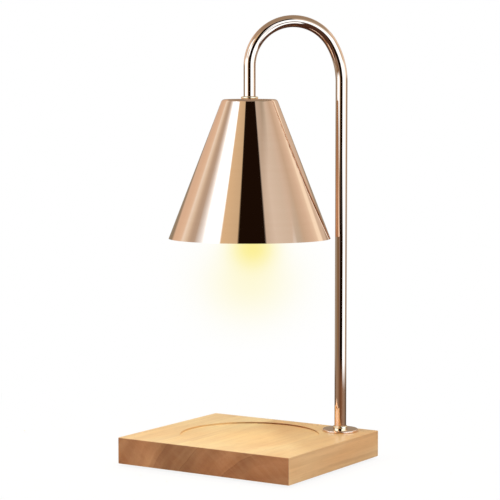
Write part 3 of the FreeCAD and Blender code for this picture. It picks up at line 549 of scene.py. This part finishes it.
def settle(angle=meshRules["smoothBelow"]):
    # back to the origin with the place in the mesh, normals out, smooth apart from real corners
    bpy.ops.mesh.select_all(action="SELECT")
    bpy.ops.mesh.remove_doubles(threshold=meshRules["weld"])
    bpy.ops.mesh.normals_make_consistent(inside=False)
    switchTo("OBJECT")
    holdPlace()
    smoothen(angle)


def drawUp(rise):
    bpy.ops.mesh.extrude_region_move(TRANSFORM_OT_translate={"value": (0, 0, rise)})


def arcPoints(centre, radius, first, last, steps):
    # (radius, height) points along an arc in a section, angles in degrees
    angles = [math.radians(first + (last - first) * i / steps) for i in range(steps + 1)]
    return [(centre[0] + radius * math.cos(angle), centre[1] + radius * math.sin(angle)) for angle in angles]


def softOutline(corners, steps=8, hold=0.15):
    # (radius, height) corners of a section; a third value rounds that corner, with a close loop on each side
    points = []
    for i, corner in enumerate(corners):
        here = Vector(corner[:2])
        if len(corner) == 2:
            points.append(tuple(here))
            continue
        size = corner[2]
        back = (Vector(corners[i - 1][:2]) - here).normalized()
        ahead = (Vector(corners[(i + 1) % len(corners)][:2]) - here).normalized()
        half = back.angle(ahead) / 2
        centre = here + (back + ahead).normalized() * size / math.sin(half)
        first, last = (here + side * size / math.tan(half) - centre for side in (back, ahead))
        start = math.atan2(first.y, first.x)
        sweep = math.atan2(first.cross(last), first.dot(last))
        points.append(tuple(centre + first + back * size * hold))
        for step in range(steps + 1):
            angle = start + sweep * step / steps
            points.append((centre.x + size * math.cos(angle), centre.y + size * math.sin(angle)))
        points.append(tuple(centre + last + ahead * size * hold))
    return points


def turnPiece(name, section, sides, axis=(0, 0), capped=False, twists=None):
    # a section of (radius, height) points drawn out ring by ring round an upright axis, closed on itself,
    # or with a flat cap at its first and last point; twists turn chosen rings by degrees
    startClean()
    (radius, height), rest = section[0], section[1:] + ([] if capped else section[:1])
    bpy.ops.mesh.primitive_circle_add(
        vertices=sides, radius=radius, location=(*axis, height), fill_type="NGON" if capped else "NOTHING")
    piece = bpy.context.object
    piece.name = piece.data.name = name
    startEditing()
    for i, (nextRadius, nextHeight) in enumerate(rest, start=1):
        drawUp(nextHeight - height)
        share, middle = nextRadius / radius, (*axis, nextHeight)
        bpy.ops.transform.resize(value=(share, share, 1), center_override=middle)
        if twists and i in twists:
            bpy.ops.transform.rotate(value=math.radians(twists[i]), orient_axis="Z", center_override=middle)
        radius, height = nextRadius, nextHeight
    settle()
    return piece


def standFor(piece, slot, body, *nodes):
    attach(piece, body)
    if nodes:
        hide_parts(*nodes)


# ---- shade

shadeShape = {
    "wall": 0.0008, "crown": 0.0219, "crownRound": 0.003, "hole": 0.00415, "sides": 256,
    # enamel lies on faces that lean down this far within the cone, or face down, above the bare rim
    "leansIn": -0.1, "facesDown": -0.9, "bareRim": 0.0001,
}


def makeShade():
    low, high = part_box("shade")
    look = shadeShape
    rim, wall, crown, hole = (high.x - low.x) / 2, look["wall"], look["crown"], look["hole"]
    slope = (rim - crown) / (high.z - low.z)
    acrossWall = wall * math.hypot(1, slope)
    section = softOutline([
        (rim, low.z), (crown, high.z, look["crownRound"]), (hole, high.z), (hole, high.z - wall),
        (crown + wall * slope - acrossWall, high.z - wall, look["crownRound"] - wall),
        (rim - acrossWall, low.z),
    ])
    shade = turnPiece("shadeSkin", section, look["sides"])
    dress(shade, "roseGold", "enamel")
    for face in shade.data.polygons:
        middle, lean = face.center, face.normal.z
        wallMiddle = rim - acrossWall / 2 - (middle.z - low.z) * slope
        inCone = math.hypot(middle.x, middle.y) < wallMiddle
        inside = (inCone and lean < look["leansIn"]) or lean < look["facesDown"]
        face.material_index = 1 if inside and middle.z > low.z + look["bareRim"] else 0
    standFor(shade, "rose_gold", "lamp", "shade")


makeShade()
print("shade spun")

# ---- pole

poleShape = {
    "tube": 0.0048, "wall": 0.0008, "hook": 0.03593, "shoulder": 0.05993, "hold": 0.001,
    "sides": 72, "shoulderSteps": 24, "hookSteps": 72,
}


def makePole():
    look = poleShape
    tube, hook, shoulder, hold = look["tube"], look["hook"], look["shoulder"], look["hold"]
    low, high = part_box("pole_tube")
    flangeLow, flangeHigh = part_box("pole_flange")
    foot = (flangeLow + flangeHigh) / 2
    reach = math.hypot(foot.x, foot.y)
    outward = Vector((foot.x, foot.y, 0)).normalized()
    axle = Vector((0, 0, 1)).cross(outward)
    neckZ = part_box("top_collar")[1].z
    springZ = high.z - tube - hook
    sideStep = hook + shoulder - reach
    drop = math.sqrt((shoulder - hook) ** 2 - sideStep ** 2)
    turn = math.atan2(drop, sideStep)
    shoulderZ = springZ - drop
    startClean()
    bpy.ops.mesh.primitive_circle_add(vertices=look["sides"], radius=tube, location=(foot.x, foot.y, low.z))
    pole = bpy.context.object
    pole.name = pole.data.name = "caneTube"
    startEditing()
    # a short band at each end of the bend keeps the straight lengths' shading straight
    drawUp(shoulderZ - low.z - hold)
    drawUp(hold)
    shoulderMiddle = outward * (reach - shoulder) + Vector((0, 0, shoulderZ))
    bpy.ops.mesh.spin(steps=look["shoulderSteps"], angle=turn, center=shoulderMiddle, axis=axle)
    hookMiddle = outward * hook + Vector((0, 0, springZ))
    bpy.ops.mesh.spin(steps=look["hookSteps"], angle=math.pi - turn, center=hookMiddle, axis=axle)
    drawUp(-hold)
    drawUp(neckZ - springZ + hold)
    settle()
    wall = pole.modifiers.new("wall", "SOLIDIFY")
    wall.thickness, wall.offset = look["wall"], -1
    bpy.ops.object.modifier_apply(modifier="wall")
    smoothen()
    dress(pole, "roseGold")
    standFor(pole, "rose_gold", "lamp", "pole_tube")


makePole()
print("pole bent")

collarAndFoot = {
    "rodBore": 0.00415, "tubeBore": 0.00482, "softEdge": 0.0009, "brokenEdge": 0.0002,
    "sides": 96, "flangeSides": 160, "bulgeSteps": 12, "edgeSteps": 8,
}


def makeCollarAndFoot():
    look = collarAndFoot
    bore, soft, broken = look["rodBore"], look["softEdge"], look["brokenEdge"]

    def softTop(rim, top):
        return arcPoints((rim - soft, top - soft), soft, 0, 90, look["edgeSteps"])

    low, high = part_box("top_collar")
    rim, half = (high.x - low.x) / 2, (high.z - low.z) / 2
    bulge = arcPoints((rim - half, (low.z + high.z) / 2), half, -90, 90, look["bulgeSteps"])
    collar = turnPiece("collarRing", [(bore, low.z), *bulge, (bore, high.z)], look["sides"])
    dress(collar, "paleGold")
    standFor(collar, "pale_gold", "lamp", "top_collar")

    low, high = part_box("foot_ring")
    axis = ((low.x + high.x) / 2, (low.y + high.y) / 2)
    rim, tubeBore = (high.x - low.x) / 2, look["tubeBore"]
    section = [(tubeBore, low.z), (rim, low.z), *softTop(rim, high.z), (tubeBore, high.z)]
    ring = turnPiece("footRing", section, look["sides"], axis)
    dress(ring, "paleGold")
    standFor(ring, "pale_gold", "lamp", "foot_ring")

    low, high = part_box("pole_flange")
    rim = (high.x - low.x) / 2
    lowEdge = [(bore, low.z), (rim - broken, low.z), (rim, low.z + broken)]
    section = [*lowEdge, *softTop(rim, high.z), (bore, high.z)]
    flange = turnPiece("footFlange", section, look["flangeSides"], axis)
    dress(flange, "roseGold")
    standFor(flange, "rose_gold", "lamp", "pole_flange")


makeCollarAndFoot()
print("collar, ring and flange turned")

# ---- bulb

mirrorShape = {
    "wall": 0.0013, "rimHigh": 0.0034, "rimRound": 0.001, "waist": 0.021, "flare": 0.037, "neck": 0.0095,
    "throat": 0.005, "hole": 0.006, "lensThick": 0.002, "lensRecess": 0.0003, "seat": 0.001,
    "sides": 48, "rings": 9, "facetHold": 0.01,
}


def makeReflector():
    # glass cup, smooth outside and cut into facets inside
    look = mirrorShape
    low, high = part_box("bulb_reflector")
    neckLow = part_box("bulb_base")[0].z
    rim, wall, neck, hole, seat = (high.x - low.x) / 2, look["wall"], look["neck"], look["hole"], look["seat"]
    rimTop = low.z + look["rimHigh"]
    waistZ = (rimTop + neckLow) / 2
    seatZ = low.z + look["lensRecess"] + look["lensThick"]
    outside = softOutline([
        (rim - wall, low.z), (rim, low.z), (rim, rimTop, look["rimRound"]), (rim - wall, rimTop),
        (look["waist"] - wall, waistZ, look["flare"]), (neck, neckLow - wall, look["throat"]),
        (neck, high.z), (hole, high.z),
    ])[:-1]
    bowl = softOutline([
        (hole, neckLow - wall), (look["waist"] - wall * 2, waistZ, look["flare"]),
        (rim - wall - seat * 2, seatZ + seat),
    ], look["rings"], look["facetHold"])
    section = [*outside, (hole, high.z), *bowl, (rim - wall - seat, seatZ), (rim - wall, seatZ)]
    # every other ring of the bowl is turned back by half a step, which staggers its facets
    firstFacet, halfStep = len(outside) + 2, 180 / look["sides"]
    twists = {firstFacet + i: -halfStep if i % 2 else halfStep for i in range(look["rings"] + 1)}
    cup = turnPiece("bulbMirror", section, look["sides"], twists=twists)
    for face in cup.data.polygons:
        middle = face.center
        inward = face.normal.x * middle.x + face.normal.y * middle.y < 0
        face.use_smooth = not (inward and seatZ < middle.z < neckLow)
    dress(cup, "mirrorCoat")
    standFor(cup, "reflector", "bulb", "bulb_reflector")


lensShape = {"bands": 7, "dip": 0.00022, "flatRim": 0.001, "tip": 0.0004, "sides": 96}


def makeLens():
    # pressed glass with shallow rings in its outer face
    look = lensShape
    low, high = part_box("bulb_lens")
    rim, tip = (high.x - low.x) / 2, look["tip"]
    step = (rim - look["flatRim"]) / look["bands"]
    section = [(tip, high.z), (rim, high.z), (rim, low.z)]
    for i in range(look["bands"]):
        edge = rim - look["flatRim"] - step * i
        section += [(edge, low.z), (edge - step * 0.5, low.z + look["dip"])]
    lens = turnPiece("bulbLens", [*section, (tip, low.z)], look["sides"], capped=True)
    dress(lens, "lensGlass")
    standFor(lens, "lens_glass", "bulb", "bulb_lens")


capsuleShape = {
    "wall": 0.0007, "tip": 0.0005, "endRound": 0.0041, "boreRound": 0.0034, "steps": 10, "sides": 48,
}


def makeCapsule():
    # a blown glass finger, open at the neck end that sits in the ceramic
    look = capsuleShape
    low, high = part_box("bulb_capsule")
    radius, tip, bore = (high.x - low.x) / 2, look["tip"], (high.x - low.x) / 2 - look["wall"]
    section = softOutline([
        (tip, low.z), (radius, low.z, look["endRound"]), (radius, high.z), (bore, high.z),
        (bore, low.z + look["wall"], look["boreRound"]), (tip, low.z + look["wall"]),
    ], look["steps"])
    capsule = turnPiece("bulbCapsule", section, look["sides"], capped=True)
    dress(capsule, "capsuleGlass")
    standFor(capsule, "capsule_glass", "bulb", "bulb_capsule")


coilShape = {
    "radius": 0.0012, "wire": 0.00022, "wireSides": 8, "rise": 0.0008, "turns": 8, "steps": 20,
    "aboveTip": 0.0065, "smoothBelow": 60,
    "leg": 0.00035, "legSides": 12, "legSpread": 1.35, "legShort": 0.001,
}


def makeFilament():
    # a standing coil between two wires inside the capsule
    look = coilShape
    low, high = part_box("bulb_capsule")
    start = low.z + look["aboveTip"]
    top = start + look["rise"] * look["turns"]
    startClean()
    place, upright = (look["radius"], 0, start), (math.pi / 2, 0, 0)
    bpy.ops.mesh.primitive_circle_add(
        vertices=look["wireSides"], radius=look["wire"], location=place, rotation=upright)
    wire = bpy.context.object
    wire.name = wire.data.name = "glowCoil"
    holdPlace()
    winding = wire.modifiers.new("winding", "SCREW")
    winding.axis, winding.angle, winding.screw_offset = "Z", math.radians(360), look["rise"]
    winding.iterations, winding.steps, winding.render_steps = look["turns"], look["steps"], look["steps"]
    bpy.ops.object.modifier_apply(modifier="winding")
    startEditing()
    bpy.ops.mesh.fill_holes(sides=0)
    settle(look["smoothBelow"])
    dress(wire, "filament")
    standFor(wire, "nickel", "bulb")
    for name, side, foot in (("coilLegHigh", 1, top), ("coilLegLow", -1, start)):
        section = [(look["leg"], foot), (look["leg"], high.z - look["legShort"])]
        axis = (look["radius"] * look["legSpread"] * side, 0)
        leg = turnPiece(name, section, look["legSides"], axis, capped=True)
        dress(leg, "dullNickel")
        standFor(leg, "nickel", "bulb")


makeReflector()
makeLens()
makeCapsule()
makeFilament()
print("bulb blown")

# ---- screws with cross recesses

screwKinds = {
    # node: (name, shank radius, head radius, head height, places round the node's middle)
    "cover_screws": ("coverScrew", 0.0014, 0.0026, 0.0014, ((-1, -1), (1, -1), (1, 1), (-1, 1))),
    "holder_screws": ("holderScrew", 0.0015, 0.00275, 0.0022, ((0, -1), (0, 1))),
    "terminal_fixing": ("fixingScrew", 0.0013, None, 0.0013, ((0, 0),)),
}
# shares of the head's radius; crossFloor is one of the cross, crossDeep of the height, flatEnd of the shank
screwShape = {
    "flatTop": 0.3, "softEdge": 0.24, "crossLong": 1.25, "crossWide": 0.26, "crossFloor": 0.45,
    "crossDeep": 0.62, "flatEnd": 0.3, "facesUp": 0.9, "sides": 40, "edgeSteps": 5, "smoothBelow": 30,
}


def cutCross(screw, radius, depth):
    # two crossed wedges sunk into the head
    look = screwShape
    cutters = []
    for turn in (0, 90):
        startClean()
        bpy.ops.mesh.primitive_cube_add(size=1, location=(0, 0, 0))
        wedge = bpy.context.object
        wedge.scale = (radius * look["crossLong"], radius * look["crossWide"], depth * 2)
        wedge.rotation_euler.z = math.radians(turn)
        holdPlace()
        switchTo("EDIT")
        bpy.ops.mesh.select_all(action="DESELECT")
        switchTo("OBJECT")
        for face in wedge.data.polygons:
            face.select = face.normal.z > look["facesUp"]
        switchTo("EDIT")
        narrow = (look["crossFloor"], look["crossFloor"], 1)
        bpy.ops.transform.resize(value=narrow, center_override=(0, 0, depth))
        switchTo("OBJECT")
        cutters.append(wedge)
    for wedge in cutters:
        cut = screw.modifiers.new("cross", "BOOLEAN")
        cut.operation, cut.object, cut.solver = "DIFFERENCE", wedge, "EXACT"
        bpy.context.view_layer.objects.active = screw
        bpy.ops.object.modifier_apply(modifier="cross")
        bpy.data.objects.remove(wedge)


def makeScrews(node):
    look = screwShape
    name, shank, head, headHigh, places = screwKinds[node]
    low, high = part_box(node)
    middle = (low + high) / 2
    head = head or (high.x - low.x) / 2
    reach = ((high.x - low.x) / 2 - head, (high.y - low.y) / 2 - head)
    length = high.z - low.z
    section = softOutline([
        (head * look["flatTop"], 0), (head, 0, head * look["softEdge"]), (head, headHigh), (shank, headHigh),
        (shank, length), (shank * look["flatEnd"], length),
    ], look["edgeSteps"])
    master = turnPiece(name, section, look["sides"], capped=True)
    cutCross(master, head, headHigh * look["crossDeep"])
    startClean()
    bpy.context.view_layer.objects.active = master
    switchTo("EDIT")
    settle(look["smoothBelow"])
    dress(master, "brightZinc")
    for i, (sideX, sideY) in enumerate(places, start=1):
        screw = master if i == len(places) else master.copy()
        if screw is not master:
            screw.data = master.data.copy()
            bpy.context.collection.objects.link(screw)
        screw.name = screw.data.name = f"{name}{i}"
        startClean()
        screw.select_set(True)
        bpy.context.view_layer.objects.active = screw
        screw.location = (middle.x + reach[0] * sideX, middle.y + reach[1] * sideY, low.z)
        holdPlace()
        standFor(screw, "zinc_steel", "lamp", node)


for node in screwKinds:
    makeScrews(node)
print("screws turned and cut")

# ---- studio

studio = {
    "ringRadius": 1.6, "ringLow": -0.4, "ringHigh": 2.6, "ringSides": 96, "lidEdge": 0.001, "tableEdge": 0.85,
    "cameraSide": -57.17,
}
shadow, glare = (0.012, 0.006, 0.003), (1.5, 2.05, 2.7)
# what stands round the lamp for its polish to mirror: stretches of (degrees from the camera's side, colour)
dimLeft = [(-180, (0.36, 0.31, 0.24)), (-124, (0.30, 0.26, 0.19)), (-104, (0.44, 0.39, 0.32))]
peachLeft = [
    (-180, (0.40, 0.34, 0.27)), (-166, (0.46, 0.39, 0.31)), (-156, (0.74, 0.58, 0.46)),
    (-132, (0.82, 0.68, 0.56)), (-119, (0.88, 0.78, 0.68)), (-114, (1.0, 1.06, 1.08)),
    (-106, (0.83, 0.83, 0.77)), (-101, (0.66, 0.62, 0.56)),
]
mauveLeft = [(-180, (0.60, 0.55, 0.52))]
brownLeft = [(-180, (0.38, 0.34, 0.28)), (-118, (0.40, 0.36, 0.30))]
glareLeft = [(-89, glare), (-42, glare), (-38, (0.66, 0.55, 0.38)), (-27, (0.58, 0.48, 0.33))]
stripedLeft = [
    (-96, (0.56, 0.52, 0.47)), (-90, (0.56, 0.53, 0.50)), (-84, (0.76, 0.82, 0.90)),
    (-78, (1.15, 1.4, 1.7)), (-74, glare), (-47, glare),
]
overLeft = [(-96, (0.52, 0.47, 0.42)), (-70, (0.48, 0.42, 0.36))]
litLeft, wallLeft = [(-66, glare), (-47, glare)], [(-54, (0.48, 0.42, 0.36))]
narrowFront = [(-25, shadow), (20, shadow), (22, glare)]
wideFront = [
    (-46, (0.83, 0.73, 0.53)), (-19, (0.70, 0.63, 0.47)), (-18, shadow), (25, shadow),
    (26, (0.68, 0.68, 0.66)),
]
softFront = [
    (-66, glare), (-58, (0.78, 0.70, 0.54)), (-46, (0.74, 0.66, 0.50)), (-42, glare), (-24, glare),
    (-20, shadow), (10, shadow), (13, glare), (66, glare), (76, (0.60, 0.66, 0.66)),
]
overFront = [(-14, (0.44, 0.36, 0.33)), (15, (0.36, 0.35, 0.31))]
dimFront = [(28, (0.60, 0.60, 0.58)), (40, (0.58, 0.57, 0.54)), (50, (0.44, 0.45, 0.41))]
glareRight = [(82, (1.4, 1.8, 2.2))]
roseRight = [
    (42, (0.80, 0.83, 0.84)), (63, (0.75, 0.77, 0.76)), (74, (0.75, 0.74, 0.72)), (90, (0.67, 0.62, 0.55)),
    (106, (0.80, 0.73, 0.66)), (116, (0.92, 0.88, 0.80)), (119, (1.12, 1.14, 1.06)),
    (127, (1.12, 1.14, 1.06)), (131, (0.72, 0.66, 0.58)), (138, (0.74, 0.68, 0.61)),
]
overRight = [(64, (0.38, 0.39, 0.35)), (100, (0.42, 0.40, 0.36))]
dimRight = [(93, (0.46, 0.41, 0.35)), (130, (0.42, 0.35, 0.27)), (180, (0.36, 0.31, 0.24))]
peachRight = [(156, (0.66, 0.54, 0.42)), (166, (0.46, 0.39, 0.31)), (180, (0.40, 0.34, 0.27))]
brownRight = [(118, (0.40, 0.36, 0.30)), (180, (0.38, 0.34, 0.28))]
table, ceiling = (0.078, 0.042, 0.031), (0.38, 0.34, 0.28)
lowStretch = [(-180, table), (19, table), (22, glare), (68, glare), (80, table)]
footStretch = [
    (-180, (0.20, 0.17, 0.14)), (-118, (0.17, 0.14, 0.11)), (-98, (0.36, 0.31, 0.27)),
    (-62, (0.36, 0.29, 0.23)), (-24, (0.22, 0.14, 0.09)), (-4, (0.18, 0.09, 0.05)),
    (27, (0.26, 0.16, 0.10)), (52, (0.37, 0.30, 0.25)), (92, (0.28, 0.24, 0.20)), (118, (0.12, 0.09, 0.07)),
    (180, (0.20, 0.16, 0.13)),
]
underShade = [
    (-180, (0.36, 0.35, 0.32)), (-112, (0.42, 0.42, 0.40)), (-96, (0.50, 0.49, 0.44)),
    (-90, (0.15, 0.12, 0.09)), (-78, (0.15, 0.12, 0.09)), (-70, (0.38, 0.30, 0.20)),
    (-56, (0.34, 0.26, 0.17)), (-50, (0.15, 0.10, 0.07)), (-40, (0.18, 0.13, 0.09)),
    (-32, (0.40, 0.34, 0.31)), (-24, (0.34, 0.29, 0.27)), (-20, shadow), (33, shadow), (35, glare),
    (84, glare), (88, (0.50, 0.49, 0.46)), (180, (0.36, 0.33, 0.30)),
]
# each zone of the ring starts over one stretch of height, in metres
cardZones = [
    ((-0.40, -0.40), lowStretch),
    ((-0.272, -0.260), footStretch),
    ((-0.178, -0.130), underShade),
    ((0.08, 0.22), dimLeft + glareLeft + narrowFront + glareRight + dimRight),
    ((0.38, 0.46),
     mauveLeft + peachLeft[2:] + glareLeft + narrowFront + glareRight + roseRight[4:] + peachRight),
    ((0.62, 0.72), peachLeft + stripedLeft[:2] + softFront + roseRight[3:] + peachRight),
    ((1.02, 1.12), peachLeft + stripedLeft + wideFront + roseRight + peachRight),
    ((1.44, 1.56), brownLeft + overLeft + litLeft + wideFront + dimFront[:2] + overRight + brownRight),
    ((1.60, 1.68), brownLeft + overLeft + wallLeft + wideFront + dimFront + overRight + brownRight),
    ((1.86, 1.94), brownLeft + overLeft + overFront + overRight + brownRight),
]


def seenOnlyBy(thing, seeing):
    for kind in ("camera", "diffuse", "glossy", "transmission", "volume_scatter", "shadow"):
        setattr(thing, f"visible_{kind}", kind == seeing)


def emptyMaterial(name):
    material, tree, shader, where = newMaterial(name)
    tree.nodes.remove(shader)
    return material, tree, where, tree.nodes["Material Output"].inputs["Surface"]


def shining(tree, colour=(1, 1, 1, 1)):
    return addNode(tree, "ShaderNodeEmission", {0: colour, 1: 1.0}).outputs[0]


def mixShaders(tree, share, first, second):
    return addNode(tree, "ShaderNodeMixShader", {0: share, 1: first, 2: second}).outputs[0]


def makeCardRing():
    startClean()
    look = studio
    low, high = look["ringLow"], look["ringHigh"]
    bpy.ops.mesh.primitive_cylinder_add(
        vertices=look["ringSides"], radius=look["ringRadius"], depth=high - low,
        location=(0, 0, (high + low) / 2))
    wall = bpy.context.object
    wall.name = "cardRing"
    holdPlace()
    material, tree, where, end = emptyMaterial("cardColours")
    turned = moved(tree, where, turn=(0, 0, math.radians(-look["cameraSide"])))
    round360 = addNode(tree, "ShaderNodeTexGradient", {0: turned}, gradient_type="RADIAL").outputs[1]
    sideX, sideY, height = parted(tree, where)
    colours = None
    for (start, full), cards in cardZones:
        zone = ramp(tree, round360, [(angle / 360 + 0.5, colour) for angle, colour in cards])
        colours = mixColour(tree, remap(tree, height, start, full), colours, zone) if colours else zone
    # the lowest zone runs on over the outer part of the table
    onTable = maths(tree, "LESS_THAN", height, low + look["lidEdge"])
    inner = times(tree, onTable, maths(tree, "LESS_THAN", fromAxis(tree, sideX, sideY), look["tableEdge"]))
    colours = mixColour(tree, inner, colours, table)
    colours = mixColour(tree, maths(tree, "GREATER_THAN", height, high - look["lidEdge"]), colours, ceiling)
    tree.links.new(shining(tree, colours), end)
    wall.data.materials.append(material)
    seenOnlyBy(wall, "glossy")


floorLook = {"size": 40, "colour": (0.93, 0.925, 0.92), "shadowLeft": 0.11, "fade": (0.12, 0.42)}


def makeFloor():
    startClean()
    look = floorLook
    bpy.ops.mesh.primitive_plane_add(size=look["size"], location=(0, 0, 0))
    floor = bpy.context.object
    floor.name = "paleFloor"
    holdPlace()
    material, tree, where, end = emptyMaterial("paleFloor")
    matt = addNode(tree, "ShaderNodeBsdfDiffuse", {0: (*look["colour"], 1)}).outputs[0]
    ray = addNode(tree, "ShaderNodeLightPath").outputs
    seen = maths(tree, "MAXIMUM", ray["Is Camera Ray"], ray["Is Transmission Ray"])
    # close in, the floor keeps a soft shadow; further out it runs into the white behind it
    away = addNode(tree, "ShaderNodeVectorMath", {0: where}, operation="LENGTH").outputs["Value"]
    bare = remap(tree, away, *look["fade"], 1 - look["shadowLeft"], 1.0)
    tree.links.new(mixShaders(tree, times(tree, seen, bare), matt, shining(tree)), end)
    floor.data.materials.append(material)
    floor.visible_glossy = False


backdropLook = {
    "turn": 32.7, "behind": 0.70, "wide": 4.0, "tall": 2.4,
    # strength, side, height, width and depth of each painted soft pool of warm light
    "paintedPools": ((1.22, 0.0035, 0.1264, 0.0172, 0.0165), (0.38, 0.0, 0.0830, 0.0360, 0.031)),
    "deepest": 1.6,
    "warmth": [
        (0.0, (1.0, 1.0, 1.0)), (0.15, (0.997, 0.980, 0.872)), (0.35, (0.993, 0.956, 0.728)),
        (0.70, (0.986, 0.920, 0.536)), (1.10, (0.980, 0.886, 0.385)), (1.60, (0.973, 0.854, 0.264)),
    ],
}


def makeBackdrop():
    # an upright white card well behind the lamp, with a painted glow of the bulb's warm light on it and a
    # clear back
    startClean()
    look = backdropLook
    turn = math.radians(look["turn"])
    away, across = Vector((-math.sin(turn), math.cos(turn), 0)), Vector((math.cos(turn), math.sin(turn), 0))
    middle = away * look["behind"] + Vector((0, 0, look["tall"] / 2))
    bpy.ops.mesh.primitive_plane_add(size=1, location=middle, rotation=(math.radians(90), 0, turn))
    card = bpy.context.object
    card.name = "paleBackdrop"
    card.scale = (look["wide"], look["tall"], 1)
    holdPlace()
    material, tree, where, end = emptyMaterial("paleBackdrop")
    along = addNode(tree, "ShaderNodeVectorMath", {0: where, 1: across}, operation="DOT_PRODUCT")
    sideways, height = along.outputs["Value"], parted(tree, where)[2]
    depth = 0.0
    for strength, side, rise, width, tall in look["paintedPools"]:
        outward = squared(tree, over(tree, minus(tree, sideways, side), width))
        downward = squared(tree, over(tree, minus(tree, height, rise), tall))
        fall = maths(tree, "EXPONENT", times(tree, plus(tree, outward, downward), -0.5))
        depth = plus(tree, depth, times(tree, fall, strength))
    deepest = look["deepest"]
    colour = ramp(tree, over(tree, depth, deepest), [(at / deepest, tint) for at, tint in look["warmth"]])
    clear = addNode(tree, "ShaderNodeBsdfTransparent", {0: (1, 1, 1, 1)}).outputs[0]
    back = addNode(tree, "ShaderNodeNewGeometry").outputs["Backfacing"]
    tree.links.new(mixShaders(tree, back, shining(tree, colour), clear), end)
    card.data.materials.append(material)
    seenOnlyBy(card, "camera")


airLook = {"colour": (1.0, 0.985, 0.965), "strength": 0.52}


def makeWorld():
    world = bpy.context.scene.world or bpy.data.worlds.new("studioAir")
    bpy.context.scene.world = world
    world.use_nodes = True
    tree = world.node_tree
    tree.nodes.clear()
    end = tree.nodes.new("ShaderNodeOutputWorld").inputs["Surface"]
    airInputs = {0: (*airLook["colour"], 1), 1: airLook["strength"]}
    soft = addNode(tree, "ShaderNodeBackground", airInputs).outputs[0]
    white = addNode(tree, "ShaderNodeBackground", {0: (1, 1, 1, 1), 1: 1.0}).outputs[0]
    ray = addNode(tree, "ShaderNodeLightPath").outputs
    seen = maths(tree, "MAXIMUM", ray["Is Camera Ray"], ray["Is Glossy Ray"])
    seen = maths(tree, "MAXIMUM", seen, ray["Is Transmission Ray"])
    tree.links.new(mixShaders(tree, seen, soft, white), end)


lamps = {
    # place, watts, size, colour
    "keyPanel": ((0.15, -0.25, 1.9), 21, 1.3, (1.0, 0.97, 0.91)),
    "fillPanel": ((-1.3, -1.4, 0.9), 4, 1.2, (1.0, 0.98, 0.95)),
    "backPanel": ((-0.6, 1.5, 1.3), 7, 1.2, (1.0, 0.97, 0.93)),
}
lampAim = (0, 0, 0.12)
beamLook = {
    "height": 0.2067, "watts": 0.9, "colour": (1.0, 0.84, 0.46), "spread": 100, "blend": 0.9, "size": 0.02,
}


def makeLamps():
    for name, (place, watts, size, colour) in lamps.items():
        bpy.ops.object.light_add(type="AREA", location=place)
        lamp = bpy.context.object
        lamp.name = name
        lamp.rotation_euler = (Vector(lampAim) - lamp.location).to_track_quat("-Z", "Y").to_euler()
        lamp.data.energy, lamp.data.size, lamp.data.color = watts, size, colour
        lamp.visible_glossy = False
    look = beamLook
    bpy.ops.object.light_add(type="SPOT", location=(0, 0, look["height"]))
    bulb = bpy.context.object
    bulb.name = "bulbBeam"
    bulb.data.energy, bulb.data.color = look["watts"], look["colour"]
    bulb.data.shadow_soft_size = look["size"]
    bulb.data.spot_size, bulb.data.spot_blend = math.radians(look["spread"]), look["blend"]
    bulb.visible_glossy = False


makeCardRing()
makeFloor()
makeBackdrop()
makeWorld()
makeLamps()
print("studio set")
